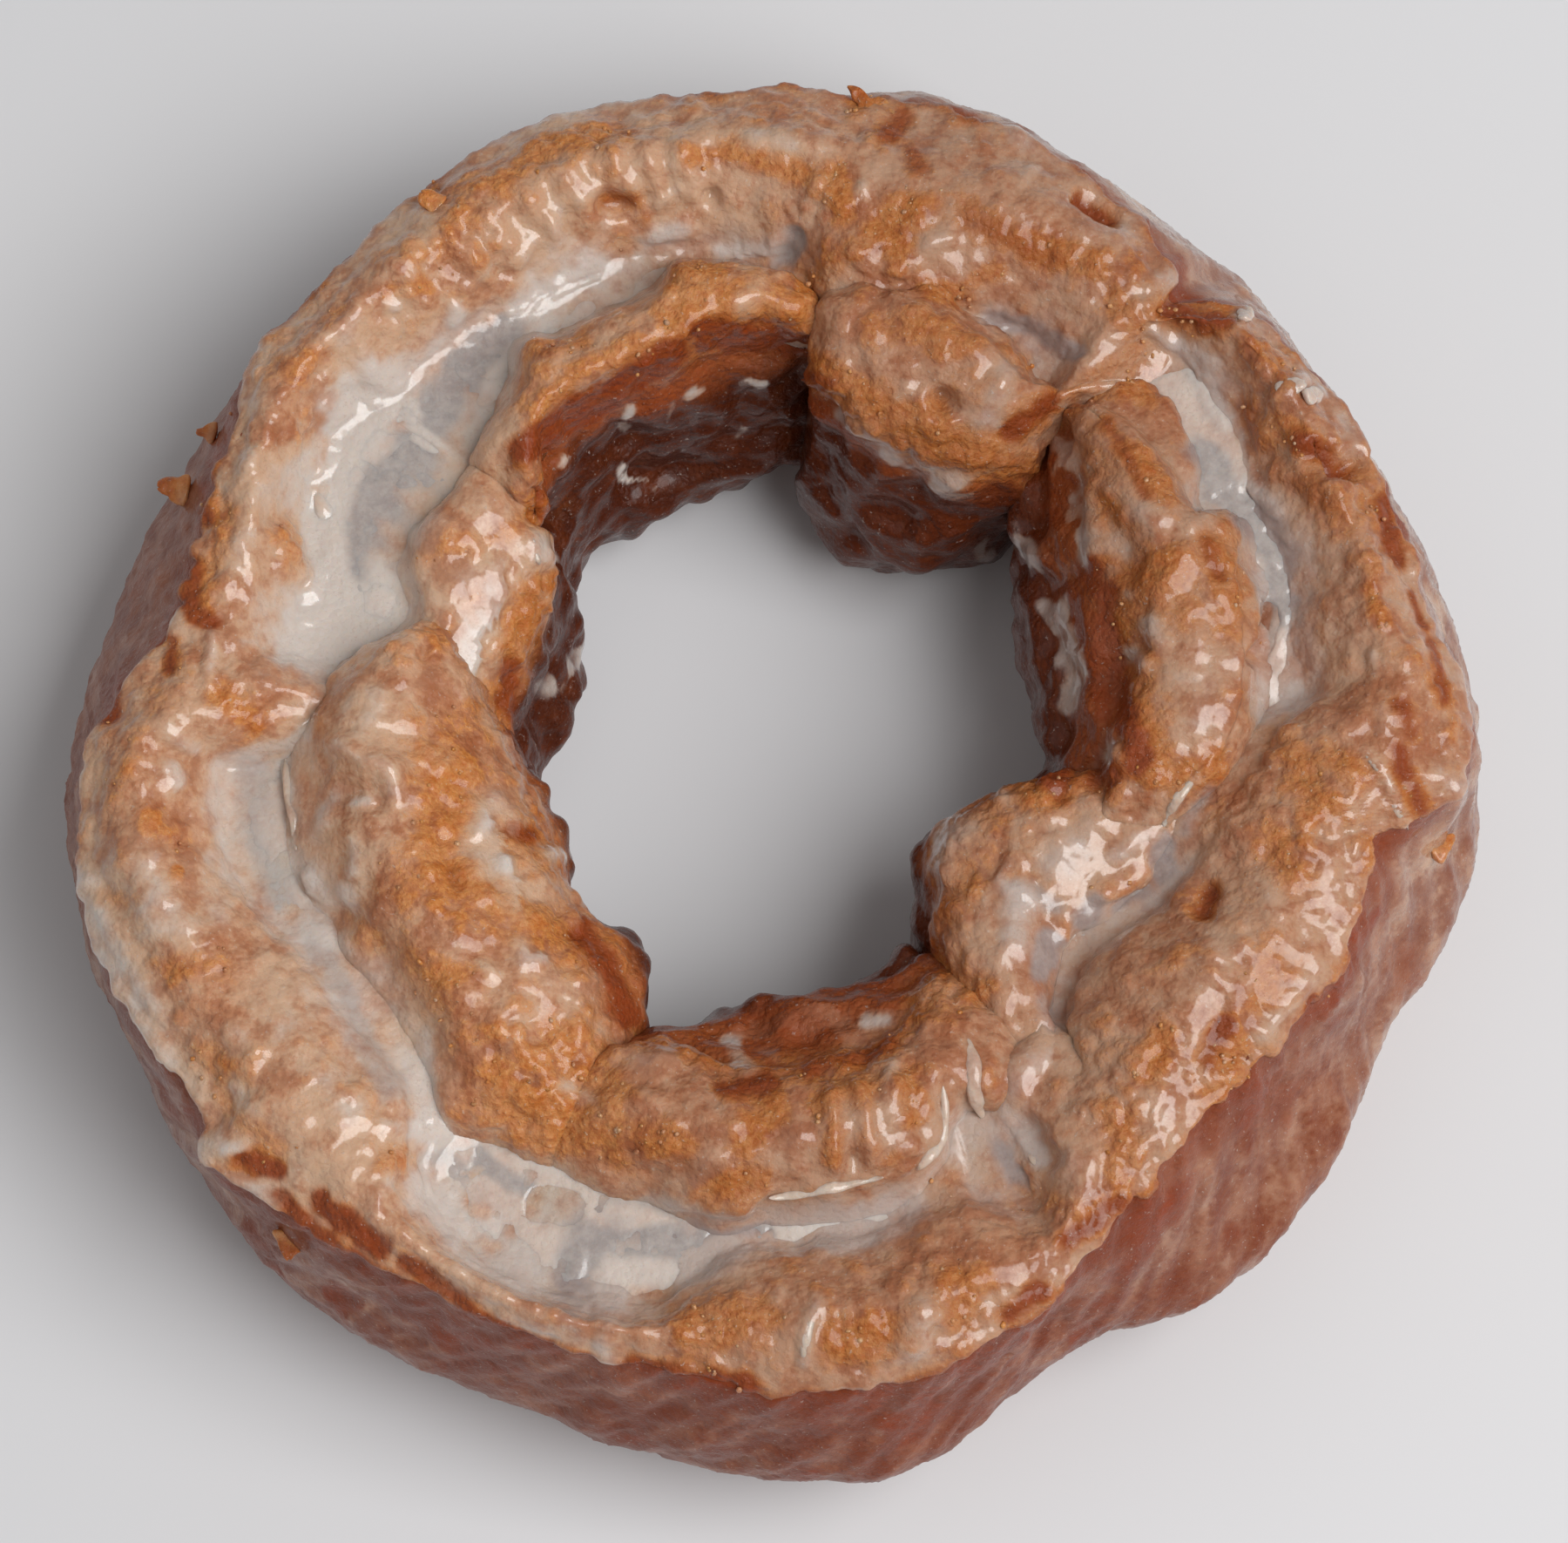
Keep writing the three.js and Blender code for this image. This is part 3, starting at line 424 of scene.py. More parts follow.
BARE_MARKS = (
    # on the ring and the lip of the second lobe
    (1.3, 1, (49.8, 30.8), (48.3, 33.8), (46.6, 36.4)), (1.5, 0.9, (90, 30.6), (98, 30.4), (104, 29.4)),
    (1, 0.8, (108, 28.6), (118, 28.2), (126, 27.4)), (1.3, 0.8, (22, 42.2), (25, 42)),
    (1.2, 1, (29.5, 39.8), (32, 39.4)), (0.8, 0.8, (11, 40.2), (14, 39.8)),
    (1.4, 0.7, (37.6, 42), (40, 41.4)), (1.2, 1, (44.6, 41.4), (46, 39.6), (49, 38.8)),
    (1.3, 0.7, (50, 36.6), (53, 37.4)), (1.3, 0.8, (57, 38.6), (63.4, 38.2)),
    (1.7, 1, (75.4, 37.6), (79, 36), (77, 35)), (1.4, 0.8, (84, 38.8), (82.6, 36.4)),
    (1.3, 0.9, (88, 39), (94, 40.4), (98, 40.4)), (1.1, 0.9, (82, 44.6), (83, 43.9)),
    (1.3, 0.8, (104, 43), (112, 43.2), (116, 42)), (1, 0.8, (106.6, 35.7), (108.6, 35.4)),
    (0.9, 0.9, (121.6, 44.8), (122.2, 43.6)), (1.4, 0.6, (119, 41.5), (124, 40)),
    (0.9, 0.9, (127, 38.8), (130, 39.8)), (0.7, 0.9, (134, 41.1), (136.4, 41)),
    (1.3, 0.7, (139, 39.6), (142, 40.4)), (0.8, 0.9, (151.4, 34.8), (152.6, 33.9)),
    (1.1, 0.9, (156.6, 35.4), (159.4, 34.2), (161.4, 33.6)), (1.1, 0.8, (157, 38.8), (167, 38.4)),
    (1.4, 0.9, (176, 36.2), (178.6, 34)), (1.6, 0.6, (177, 40), (185, 42.6)),
    (1.3, 0.6, (188, 40.6), (191, 38.8)), (1, 0.8, (194, 44.5), (195, 43.2)),
    (0.5, 0.9, (193.4, 39.8), (193.6, 39.7)), (1.7, 0.8, (202, 41.6), (203.6, 38.4)),
    (1.4, 0.9, (210, 42.2), (216, 42.6), (221, 42)), (0.9, 0.9, (219, 45.2), (220.4, 44)),
    (1.1, 1, (229, 38), (229.2, 37)), (0.8, 0.8, (238.6, 37.4), (239.6, 37)),
    (0.8, 0.7, (240, 39.6), (242.4, 39.4)), (1.1, 0.6, (254, 38.6), (259.4, 38.4)),
    (1.9, 0.8, (262.6, 39.4), (268.6, 38.2)), (1.8, 1, (275.6, 40), (280, 39.8)),
    (1.3, 0.8, (287, 40), (288.4, 38.6)), (1.4, 0.8, (287.4, 37.4), (290.4, 38)),
    (1.1, 0.8, (288.6, 32.4), (291, 31.8)), (1.3, 0.6, (298, 34.4), (302, 36.8)),
    (1.5, 0.7, (306, 36.4), (310.6, 34)), (1.4, 0.8, (320, 36.4), (324.6, 36)),
    (1.3, 0.8, (316.6, 32.4), (320.4, 32)), (1.7, 0.7, (330, 35.8), (334, 35)),
    (1.7, 0.7, (344, 34.6), (347.6, 33)), (1.7, 0.7, (352, 35.4), (356.6, 33.6)),
    (1.1, 1, (352.4, 42), (355, 41)), (0.8, 0.9, (348.6, 44.2), (349.4, 42.4)),
    (1.2, 0.6, (356, 38.4), (358, 36)),
    # on the lobes
    (1.1, 1, (67.6, 32.6), (72, 32.4)), (1, 0.8, (65.4, 35), (67.6, 33.6)),
    (1.4, 0.9, (55, 24), (62, 23.2), (66, 24)), (1.4, 0.8, (72, 24), (80, 24.6), (84, 25.6)),
    (1.8, 0.6, (66, 29.6), (76, 29)), (0.7, 0.8, (57, 30.4), (61, 30.3)),
    (1.3, 1, (85.6, 31.4), (88, 29.4)), (1.5, 0.9, (97, 32.4), (102.6, 32)),
    (1, 0.9, (98, 30), (101.4, 30.6)), (1.2, 0.9, (115.6, 30), (120.6, 30.6)),
    (1.1, 0.7, (122, 29), (125.4, 28.2)), (1, 1, (130.6, 21.6), (134, 21.6)),
    (1.2, 0.7, (138, 22), (146, 23.2), (152, 25.8)), (1.3, 0.9, (147, 18.6), (152, 18.9), (160, 18.7)),
    (0.8, 0.6, (154, 16.4), (158.4, 16.2)), (1.1, 0.6, (162, 23.3), (166.4, 23)),
    (2.5, 0.8, (179, 21), (190, 21.8), (198, 23)), (1.4, 1, (187.4, 21.3), (195, 21.4)),
    (2.7, 0.7, (203, 26), (206, 22), (214, 22)), (1.3, 1, (204, 30), (208.4, 29.4)),
    (1.7, 0.9, (217, 27), (219, 25.4)), (2, 0.8, (223, 20), (218, 21.5)),
    (2, 0.8, (228, 29.6), (230.4, 31)), (2.2, 0.7, (213, 28), (226, 27.6)),
    (2.8, 0.9, (232, 29), (240, 29.6), (249, 29)), (2, 0.7, (235, 25), (247, 26)),
    (1.7, 0.9, (252, 28), (257.6, 27.6)), (1.6, 0.8, (250, 21), (258, 20.2)),
    (1.4, 0.9, (262.6, 30.1), (266.6, 29.4)), (1.7, 1, (266, 26.8), (269.4, 25.2)),
    (1.4, 0.8, (276, 24.8), (283, 24)), (0.8, 0.8, (277, 28), (278.2, 26)),
    (1.2, 0.7, (289, 27), (291, 24)), (1.3, 1, (297, 19), (301.4, 18.8), (302, 17.6)),
    (1.5, 0.5, (300, 22), (308.6, 21.4)), (0.7, 1, (327.4, 18.2), (328.6, 18.3)),
    (0.8, 0.7, (321.4, 16.2), (323.4, 15.6)), (1, 0.9, (322.8, 22.9), (325.2, 22.7)),
    (1.4, 0.9, (333, 24), (336, 24.8), (338, 25.6)), (0.9, 0.7, (341.6, 20.4), (343.4, 20.1)),
    (1.3, 0.8, (344.4, 17.8), (347.6, 18.6)), (0.9, 0.7, (329.6, 18.8), (330.8, 21.6)),
    (1.4, 0.9, (354, 26.4), (357, 28.4)), (1.3, 0.9, (354, 25), (360, 24)),
    (1.4, 0.7, (13.6, 30), (20, 31.6), (26, 32.8)), (1.1, 1, (32.6, 30.2), (38.6, 30.2)),
    (0.9, 1, (33.4, 26.1), (35.6, 26.6)), (1.1, 0.7, (43, 33.6), (45.4, 33.6)),
    (1.6, 0.5, (16, 28), (25, 28)),
)
TOAST_MARKS = (
    # bare gaps in the pools
    (0.8, 0.7, (244.2, 34.6), (247, 34.2)), (0.6, 0.7, (9.6, 31.6), (11, 32.4), (14.4, 33.1)),
    # on the ring and its side
    (0.7, 0.8, (3, 43.3), (8, 42.9)), (0.5, 0.7, (9.6, 42.7), (13, 42.5)),
    (0.9, 0.8, (16, 42.3), (21.6, 42.8)), (1.3, 1, (26, 41.6), (30, 39.9)),
    (1.2, 0.9, (44, 40.8), (48, 39.2)), (1.2, 0.8, (146, 43.4), (149, 42.4), (153, 41.6)),
    (0.8, 0.8, (156, 41.2), (158.4, 40)), (1, 0.8, (163, 39.8), (168, 38.9), (168.4, 37.6)),
    (0.7, 0.8, (171, 39.6), (174, 39.6)), (1.3, 0.8, (175.4, 43.6), (178.4, 43.2)),
    (1, 0.8, (214, 45.2), (215.6, 45)), (1.1, 0.9, (220, 44), (222.4, 43)),
    (1, 0.8, (224, 44), (230, 43.9), (235.4, 43.6)),
    (1.1, 0.9, (235.4, 43.6), (239.9, 44.6), (245.3, 45.1)),
    (1.3, 0.9, (227, 42.4), (231, 42), (233.6, 42)), (1.1, 0.8, (236, 41.8), (243, 42.4)),
    (1.2, 0.95, (243, 42.9), (250.4, 43.2)), (1.2, 0.8, (258, 42.6), (262, 42.6)),
    (1.5, 1, (263.4, 43), (267, 43)), (0.8, 0.9, (281.4, 45.4), (282.6, 43.8)),
    (1, 0.9, (286.4, 44), (288.6, 43)), (1, 0.8, (291, 41), (294.4, 40.4)),
    (1, 0.8, (299, 38.2), (305, 37.8)), (1, 0.8, (301, 42.4), (305.4, 41.6)),
    (0.9, 1, (324.4, 34.6), (326, 34.6)), (1.1, 0.6, (321.6, 35), (324, 34.6)),
    (0.5, 1, (333.4, 39.8), (335, 39.9)), (0.4, 0.9, (331.4, 38.7), (333, 38.7)),
    (0.5, 1, (341.2, 40.6), (343, 40.6)), (0.4, 0.8, (339.8, 39.6), (340.4, 39.6)),
    (0.8, 0.9, (353, 42), (355, 41.4)), (0.9, 0.9, (356, 40.8), (358.4, 40.2)),
    (1.1, 0.7, (0, 41), (2.4, 40.6)), (0.7, 0.9, (58, 42.2), (61.4, 42.3)),
    (1.2, 0.7, (79, 43.8), (80, 42.2)), (1.4, 0.5, (61, 37.4), (70, 38)),
    (1, 0.6, (76.4, 40.4), (77.6, 41.6)), (0.9, 0.5, (104.6, 38.2), (107, 38.4)),
    (1.6, 0.5, (22, 39.6), (27, 38)), (1.2, 0.5, (28, 37.4), (36, 38.2)),
    # on the lobes
    (1.1, 0.9, (52, 29), (53.6, 26)), (0.8, 0.8, (81, 24.6), (85, 24.9)),
    (1.5, 1, (88, 27.6), (92, 27.6), (100, 28)), (1.4, 1, (104, 27), (110, 26.2), (118, 26), (130, 25.6)),
    (1, 0.9, (133.4, 22.6), (136, 21.8)), (1, 0.9, (138, 18), (141.6, 17)),
    (1.2, 0.8, (165, 18.4), (172, 18), (179, 17)), (1, 0.8, (201, 18.6), (203, 17.8)),
    (0.8, 0.5, (204, 22.8), (206.4, 22.8)), (1.4, 0.9, (227, 18.4), (236, 19.2), (243, 21.2)),
    (0.8, 0.8, (255, 20.2), (257.4, 20)), (1.1, 0.8, (262, 23.8), (269, 23.2)),
    (0.8, 0.7, (275, 22.6), (284, 22.2), (290, 21.8)), (1, 0.9, (299, 17.4), (303.4, 17.6)),
    (1.6, 1, (350, 18.6), (359, 18.2)), (1.3, 1, (-4, 23.6), (6, 22.6), (16, 22.6), (24, 23.5), (30, 23.4)),
    (1.3, 0.9, (4, 21.4), (16, 21.4), (28, 21.6)), (1.1, 0.8, (38, 24), (44, 22.6)),
    (0.7, 0.6, (34, 29), (38, 29.6), (44, 30.4)), (1.6, 0.8, (352, 21.4), (358, 21.6)),
    (1, 0.8, (337, 29.8), (339, 29.8)), (0.8, 0.6, (20.4, 30.6), (25, 30.8)),
    (1.4, 0.6, (55, 18.2), (80, 18.6)),
)
# Pits, with depths instead of strengths, and raised spots.
HEIGHT_MARKS = (
    (1, -1.8, (64.2, 25.4), (64.4, 25.4)), (0.7, -0.9, (96.6, 37.5), (96.8, 37.5)),
    (0.9, -1, (105.8, 38.2), (107, 38.4)), (0.8, -0.7, (88, 34.5), (88.6, 33.2)),
    (1, -0.6, (337.2, 29.8), (339, 29.9)), (1.2, -1.6, (26, 42), (28, 40.2)),
    (1, -1.8, (134.2, 22.4), (135.6, 21.8)), (0.9, -1.1, (293, 43.3), (295, 43.2)),
    (0.8, -0.9, (58.4, 42.2), (61, 42.3)), (0.8, -1.3, (9.6, 31.6), (11, 32.4), (14.4, 33.1)),
    (0.9, -1.3, (244.4, 34.7), (247, 34.2)), (0.9, 0.5, (99, 41), (98.4, 38)),
    (0.9, 0.5, (102, 41), (101.6, 38.4)), (0.9, 0.5, (105, 41.4), (104.6, 39)),
    (1, 0.5, (110, 41), (109.4, 38)), (1, 0.5, (114, 40.6), (113.4, 38)),
    (1, 0.5, (118, 40.4), (118, 37.6)), (0.9, 0.5, (122, 40.4), (121.6, 38.4)),
    (0.9, 0.5, (128, 40.6), (128, 38)), (1, 0.6, (278, 28.4), (278.6, 24.6)),
    (1, 0.6, (282, 28.4), (282.2, 24.6)), (1, 0.6, (287, 28.2), (287.4, 24.6)),
    (0.8, -0.6, (280, 28.4), (280.4, 24.8)), (0.9, 0.6, (157, 35.4), (161, 33.8)),
    (0.7, 0.5, (151.5, 34.7), (152.6, 34)), (0.9, 0.7, (333, 24), (336, 24.8), (338, 25.6)),
    (0.9, 0.7, (323, 22.9), (325.4, 22.7)), (0.9, 0.5, (229, 38), (229.2, 37)),
    (1.2, 0.6, (62, 29.6), (75, 30.4)), (1.3, -0.7, (189, 26.6), (188.6, 28.4)),
    (1.2, 0.7, (181.6, 27.8), (184.4, 26.4), (186, 25.2)), (1, -0.8, (293.6, 33), (294.4, 29.4)),
    (1, -0.7, (301.8, 33), (302, 30.8)), (1, 0.5, (281.8, 40.4), (283.6, 39.2)),
    (0.7, -0.6, (314, 26.4), (320, 24.8), (324, 24.4)),
)

# ---- small pieces, in millimetres ------------------------------------------------------------------------
# A tone says how toasted, how bare and how glazed a piece is. FLAKE_ROOT is the tone of every flake's root.

THREAD_TONE = (0, 0, 1.3)
CHIP_TONE = (0, 0, 1.6)
FLAKE_TONES = {"toast": (0.6, 0.5, -0.2), "dark": (0.9, 0.2, -0.2), "orange": (0.3, 0.9, -0.2)}
FLAKE_ROOT = (0.3, 0.5, 0.1)
FLAKE_THICKNESS = 0.7
FLAKE_TAPER = 0.6
CHIP_THICKNESS = 0.5
CHIP_TAPER = 0.2
THREAD_SMOOTHING = 16
CRUMB_TRIES = 12000
CRUMB_RADII = (15.0, 45.5)
CRUMB_SIZES = (0.09, 0.19)
CRUMB_SINK = 0.12
# Threads of glaze: half width in mm, and the places they run through.
THREADS = (
    (0.4, (269, 30.7), (273, 30.5), (277, 30.2), (283, 30.1)),
    (0.45, (287, 30.2), (289, 29.6), (291, 29), (293, 27.5), (294.5, 25.5)),
    (0.65, (297.5, 29), (298, 27), (300, 25), (301, 23.5)),
    (0.35, (351, 41.5), (354, 40), (356, 39.3), (358, 38)), (0.3, (300, 33.3), (300.4, 32.2), (301, 31)),
    (0.3, (183, 32.1), (188, 32), (194, 32.1)), (0.4, (272.4, 41), (272.8, 39), (274, 37.6)),
    (0.35, (346, 25.9), (351, 26.4), (354, 27.4)), (0.3, (140, 20.9), (142, 20.2), (143, 19.4)),
)
# Flakes of crust: root and tip places, width in mm, lift and curl in degrees, and tone.
FLAKES = (
    ((79.6, 43.4), (84.2, 45.6), 2.4, 0, 6, "toast"), ((121.4, 42.8), (122.2, 44.2), 2, 4, 6, "orange"),
    ((156.4, 42.6), (157.3, 44.6), 2.6, -14, 8, "toast"),
    ((150.6, 43), (151.3, 44.4), 1.9, -10, 8, "toast"), ((226.8, 45.4), (228.2, 47), 3.2, -16, 14, "toast"),
    ((263.6, 46), (264.6, 47.4), 3, -24, 16, "dark"),
    ((349.4, 43.6), (351.2, 45.2), 2.4, -10, -8, "orange"),
)
# Chips of glaze: root and tip places, and width in mm.
CHIPS = (
    ((33.4, 41.6), (33.2, 43.4), 1.3), ((35.4, 40.2), (34.6, 42.2), 1.4), ((267.4, 46), (268.8, 46.2), 0.9),
    ((281, 45.8), (282.2, 46.2), 0.9), ((42.6, 42), (43.6, 43.4), 1.1), ((95.6, 24.8), (92.4, 24.8), 1.4),
    ((105.2, 24.5), (101.4, 24.8), 2), ((115.8, 24), (112.6, 24.6), 1.8), ((109, 23.2), (106, 24), 1.5),
)

# ---- the camera, in millimetres and degrees --------------------------------------------------------------

VIEW_ELEVATION = 74.0
VIEW_DISTANCE = 400.0
VIEW_TARGET = (0.5, 0.9, 12.0)
VIEW_SENSOR = 36.0
VIEW_LENS = 137.0

# ---- the stage, in metres and watts ----------------------------------------------------------------------

FLOOR_REACH = 1.5
LIGHTS = {
    "window": dict(azimuth=-22, elevation=57, distance=0.7, size=0.48, power=4.4),
    "fill": dict(azimuth=200, elevation=45, distance=0.9, size=0.9, power=0.6),
}
SKY_STRENGTH = 0.26


# ---- sizes and colours that a user would change ----------------------------------------------------------


def colour_setting(name, description, red, green, blue):
    """A colour property whose default is given as screen values from 0 to 255."""
    screen = np.array((red, green, blue)) / 255
    linear = np.where(screen <= 0.04045, screen / 12.92, ((screen + 0.055) / 1.055) ** 2.4)
    return FloatVectorProperty(name=name, description=description, subtype="COLOR", size=3, min=0, max=1,
                               default=tuple(float(value) for value in linear))


def size_setting(name, description, default, highest, lowest=0):
    """A size property in millimetres."""
    description = f"{description}, in mm"
    return FloatProperty(name=name, description=description, default=default, min=lowest, max=highest)


def count_setting(name, description, default, highest):
    """A property that counts the sections of a piece."""
    return IntProperty(name=name, description=description, default=default, min=60, max=highest)


class DoughnutSizes(bpy.types.PropertyGroup):
    """Sizes of the relief and of the meshes."""

    swell: size_setting("Swell", "Depth of the slow rise and fall of the torn top", 0.4, 3)
    knobs: size_setting("Knobs", "Height of the pea-sized knobs of the torn top", 0.45, 2)
    crumb: size_setting("Crumb", "Height of the crumb grains on the torn top", 0.85, 2)
    glaze: size_setting("Glaze", "How deep the thin glaze fills the crumb", 1.1, 3)
    wrinkle: size_setting("Wrinkle", "Depth of the fine wrinkles on the side crust", 0.28, 1)
    lobe_step: size_setting("Lobe step", "Distance between a lobe's sections", 0.23, 3, 0.1)
    top_columns: count_setting("Top columns", "Sections round the torn top", 1060, 1080)
    side_columns: count_setting("Side columns", "Sections round the side crust", 760, 1000)
    pool_columns: count_setting("Pool columns", "Sections round the pooled glaze", 1050, 1080)


class DoughnutColours(bpy.types.PropertyGroup):
    """Colours of the dough, the glaze and the floor."""

    crumb: colour_setting("Crumb", "Torn top where the glaze is thin", 194, 128, 84)
    shade: colour_setting("Shade", "Deeper and denser crumb", 160, 88, 46)
    amber: colour_setting("Amber", "Golden tips of the bare crumb", 208, 138, 72)
    honey: colour_setting("Honey", "Deeper orange between those tips", 186, 106, 42)
    toast: colour_setting("Toast", "Well fried edges", 142, 58, 20)
    ember: colour_setting("Ember", "Darkest fried walls in the hole", 70, 26, 10)
    # Fried walls, partly painted shade: the walls are painted darker low in the hole, where shade falls.
    skin: colour_setting("Skin", "Smooth side crust under glaze", 158, 100, 74)
    rind: colour_setting("Rind", "Redder streaks of the side crust", 120, 54, 26)
    veil: colour_setting("Veil", "Thin dried glaze over crumb", 206, 171, 142)
    # Thick glaze, and also the colour of the painted highlights: the glint specks and the white highlight
    # marks.
    frost_and_glint: colour_setting("Frost", "Thick dried glaze", 208, 198, 190)
    # Partly painted shade: this grey stands in for the dark hollow under the film, and for a shadow along a
    # shore.
    film: colour_setting("Film", "Glaze film over a dark hollow", 158, 150, 147)
    floor: colour_setting("Floor", "Table", 222, 222, 224)


# ---- numbers ---------------------------------------------------------------------------------------------

# Further off than anything that counts, where the nearest thing is looked for.
FAR = 9.0


def between(low, high, value):
    """0 below low, 1 above high, and a smooth S-curve from one to the other. high may be under low."""
    share = np.clip((value - low) / (high - low), 0, 1)
    return share * share * (3 - 2 * share)


def soft_above(value, width):
    """The value where it is above 0 and 0 below it, rounded over the width: (v + sqrt(v^2 + w^2)) / 2."""
    return (value + np.sqrt(value * value + width * width)) / 2


class Curve:
    """A smooth curve through (azimuth, value) knots that never swings past them.

    Each knot's slope is the harmonic mean of the slopes on its two sides, and zero at a peak or a dip.
    A closed curve repeats every full turn, and an open one is level past its ends.
    """

    def __init__(self, knots, closed=True):
        place, value = np.array(knots, float).T
        if closed:
            place = np.concatenate((place[-2:] - TURN, place, place[:2] + TURN))
            value = np.concatenate((value[-2:], value, value[:2]))
        slope = np.diff(value) / np.diff(place)
        before = np.concatenate(([0], slope))
        after = np.concatenate((slope, [0]))
        total = np.where(before * after > 0, before + after, 1)
        self.tangent = np.where(before * after > 0, 2 * before * after / total, 0)
        self.place = place
        self.value = value
        self.closed = closed

    def __call__(self, azimuth):
        at = np.mod(azimuth, TURN) if self.closed else np.asarray(azimuth, float)
        i = np.clip(np.searchsorted(self.place, at) - 1, 0, len(self.place) - 2)
        width = self.place[i + 1] - self.place[i]
        t = np.clip((at - self.place[i]) / width, 0, 1)
        bend = self.tangent[i] * (1 - t) - self.tangent[i + 1] * t
        ends = self.value[i] * (1 + 2 * t) * (1 - t) ** 2 + self.value[i + 1] * t * t * (3 - 2 * t)
        return ends + width * t * (1 - t) * bend


def rail(knots, azimuth, closed=False):
    """Radius and height at each azimuth along a line of (azimuth, radius, height) knots."""
    place, radius, height = zip(*knots)
    return Curve(list(zip(place, radius)), closed)(azimuth), Curve(list(zip(place, height)), closed)(azimuth)


class Grain:
    """Noise in space: a random slope and point belong to each cell of a lattice, and repeat with the seed.

    Things that need noise of their own add a whole number of their own to the points. gain brings the waves
    to about -1 to 1, and shift sets the layers of one thing apart.
    """

    gain = 1.6
    shift = 7.3

    def __init__(self, seed):
        random = np.random.default_rng(seed)
        self.order = random.permutation(256)
        self.slopes = random.normal(size=(256, 3))
        self.slopes /= np.linalg.norm(self.slopes, axis=1, keepdims=True)
        self.seats = random.random((256, 3))

    def label(self, cell):
        """The number from 0 to 255 that belongs to a cell."""
        first = self.order[cell[..., 2] & 255]
        second = self.order[(cell[..., 1] + first) & 255]
        return self.order[(cell[..., 0] + second) & 255]

    def waves(self, points, size):
        """Gradient noise, about -1 to 1: a slope at each lattice corner, blended by a fifth-degree curve."""
        scaled = points / size
        cell = np.floor(scaled).astype(int)
        inside = scaled - cell
        ease = inside**3 * (inside * (inside * 6 - 15) + 10)
        total = np.zeros(points.shape[:-1])
        for corner in np.ndindex(2, 2, 2):
            offset = np.array(corner)
            slope = self.slopes[self.label(cell + offset)]
            weight = np.prod(np.where(offset == 1, ease, 1 - ease), axis=-1)
            total += weight * np.sum(slope * (inside - offset), axis=-1)
        return total * self.gain

    def layers(self, points, size, count, fade=0.5):
        """Several sheets of waves, each half as large and fade times as strong as the one before."""
        total = 0
        for layer in range(count):
            total = total + fade**layer * self.waves(points + self.shift * layer, size / 2**layer)
        return total

    def pebbles(self, points, size):
        """Distance to the nearest of one random point in each cell, 0 at a point and about 1 between them."""
        scaled = points / size
        cell = np.floor(scaled).astype(int)
        nearest = np.full(points.shape[:-1], FAR)
        for corner in np.ndindex(3, 3, 3):
            neighbour = cell + np.array(corner) - 1
            seat = neighbour + self.seats[self.label(neighbour)]
            nearest = np.minimum(nearest, np.sum((seat - scaled) ** 2, axis=-1))
        return np.minimum(np.sqrt(nearest), 1)


def corner_columns(corners):
    """Corners (radius, height), of numbers or values per column, as [corner, radius or height, column]."""
    flat = np.stack(np.broadcast_arrays(*(value for pair in corners for value in pair))).astype(float)
    return flat.reshape(len(corners), 2, -1)


def closed_section(corners, steps):
    """A closed Catmull-Rom curve through corners, with steps[i] points from corner i to the next.

    The result is [point, radius or height, column].
    """
    corner = corner_columns(corners)
    rows = []
    for i, count in enumerate(steps):
        t = (np.arange(count) / count)[:, None, None]
        before, here, after, beyond = (corner[(i + k) % len(corner)] for k in (-1, 0, 1, 2))
        leave = (after - before) / 2
        arrive = (beyond - here) / 2
        ends = here * (1 + 2 * t) * (1 - t) ** 2 + after * t * t * (3 - 2 * t)
        rows.append(ends + t * (1 - t) * (leave * (1 - t) - arrive * t))
    return np.concatenate(rows)


def section_steps(corners, spacings):
    """How many points each stretch of a section gets, from its mean length and its own spacing in mm."""
    corner = corner_columns(corners)
    length = np.linalg.norm(np.roll(corner, -1, axis=0) - corner, axis=1).mean(axis=-1)
    return [max(2, round(float(run / spacing))) for run, spacing in zip(length, spacings)]


def section_places(steps):
    """Each point's place in its section, counted in corners."""
    return np.concatenate([i + np.arange(count) / count for i, count in enumerate(steps)])


def turned(radius, height, azimuth):
    """Points in space from radius, height and azimuth in degrees."""
    angle = np.radians(azimuth)
    return np.stack(np.broadcast_arrays(radius * np.cos(angle), radius * np.sin(angle), height), axis=-1)


def wrap_slope(points, axis):
    """Half the difference between the next point and the one before, along an axis that closes."""
    return (np.roll(points, -1, axis) - np.roll(points, 1, axis)) / 2


def eased(count):
    """So many numbers between -1 and 1, closer together towards both ends: the sines of even steps."""
    return np.sin(np.linspace(-1, 1, count + 2)[1:-1] * math.pi / 2)


def round_turn(count):
    """Angles in radians all the way round, the same step apart."""
    return np.arange(count) * math.tau / count


def unit(vectors):
    """The vectors with length 1."""
    return vectors / np.maximum(np.linalg.norm(vectors, axis=-1, keepdims=True), 1e-9)


def lie_of(points, whole_ring=True):
    """Outward normals of a grid [point of the section, azimuth, xyz]. Its sections close."""
    along = wrap_slope(points, 1) if whole_ring else np.gradient(points, axis=1)
    around = wrap_slope(points, 0)
    return unit(np.cross(along, around))


# ---- meshes ----------------------------------------------------------------------------------------------

# What each point of a piece tells its finish.
LOOKS = ("toast", "bare", "glaze", "film", "skin", "ember", "deep")


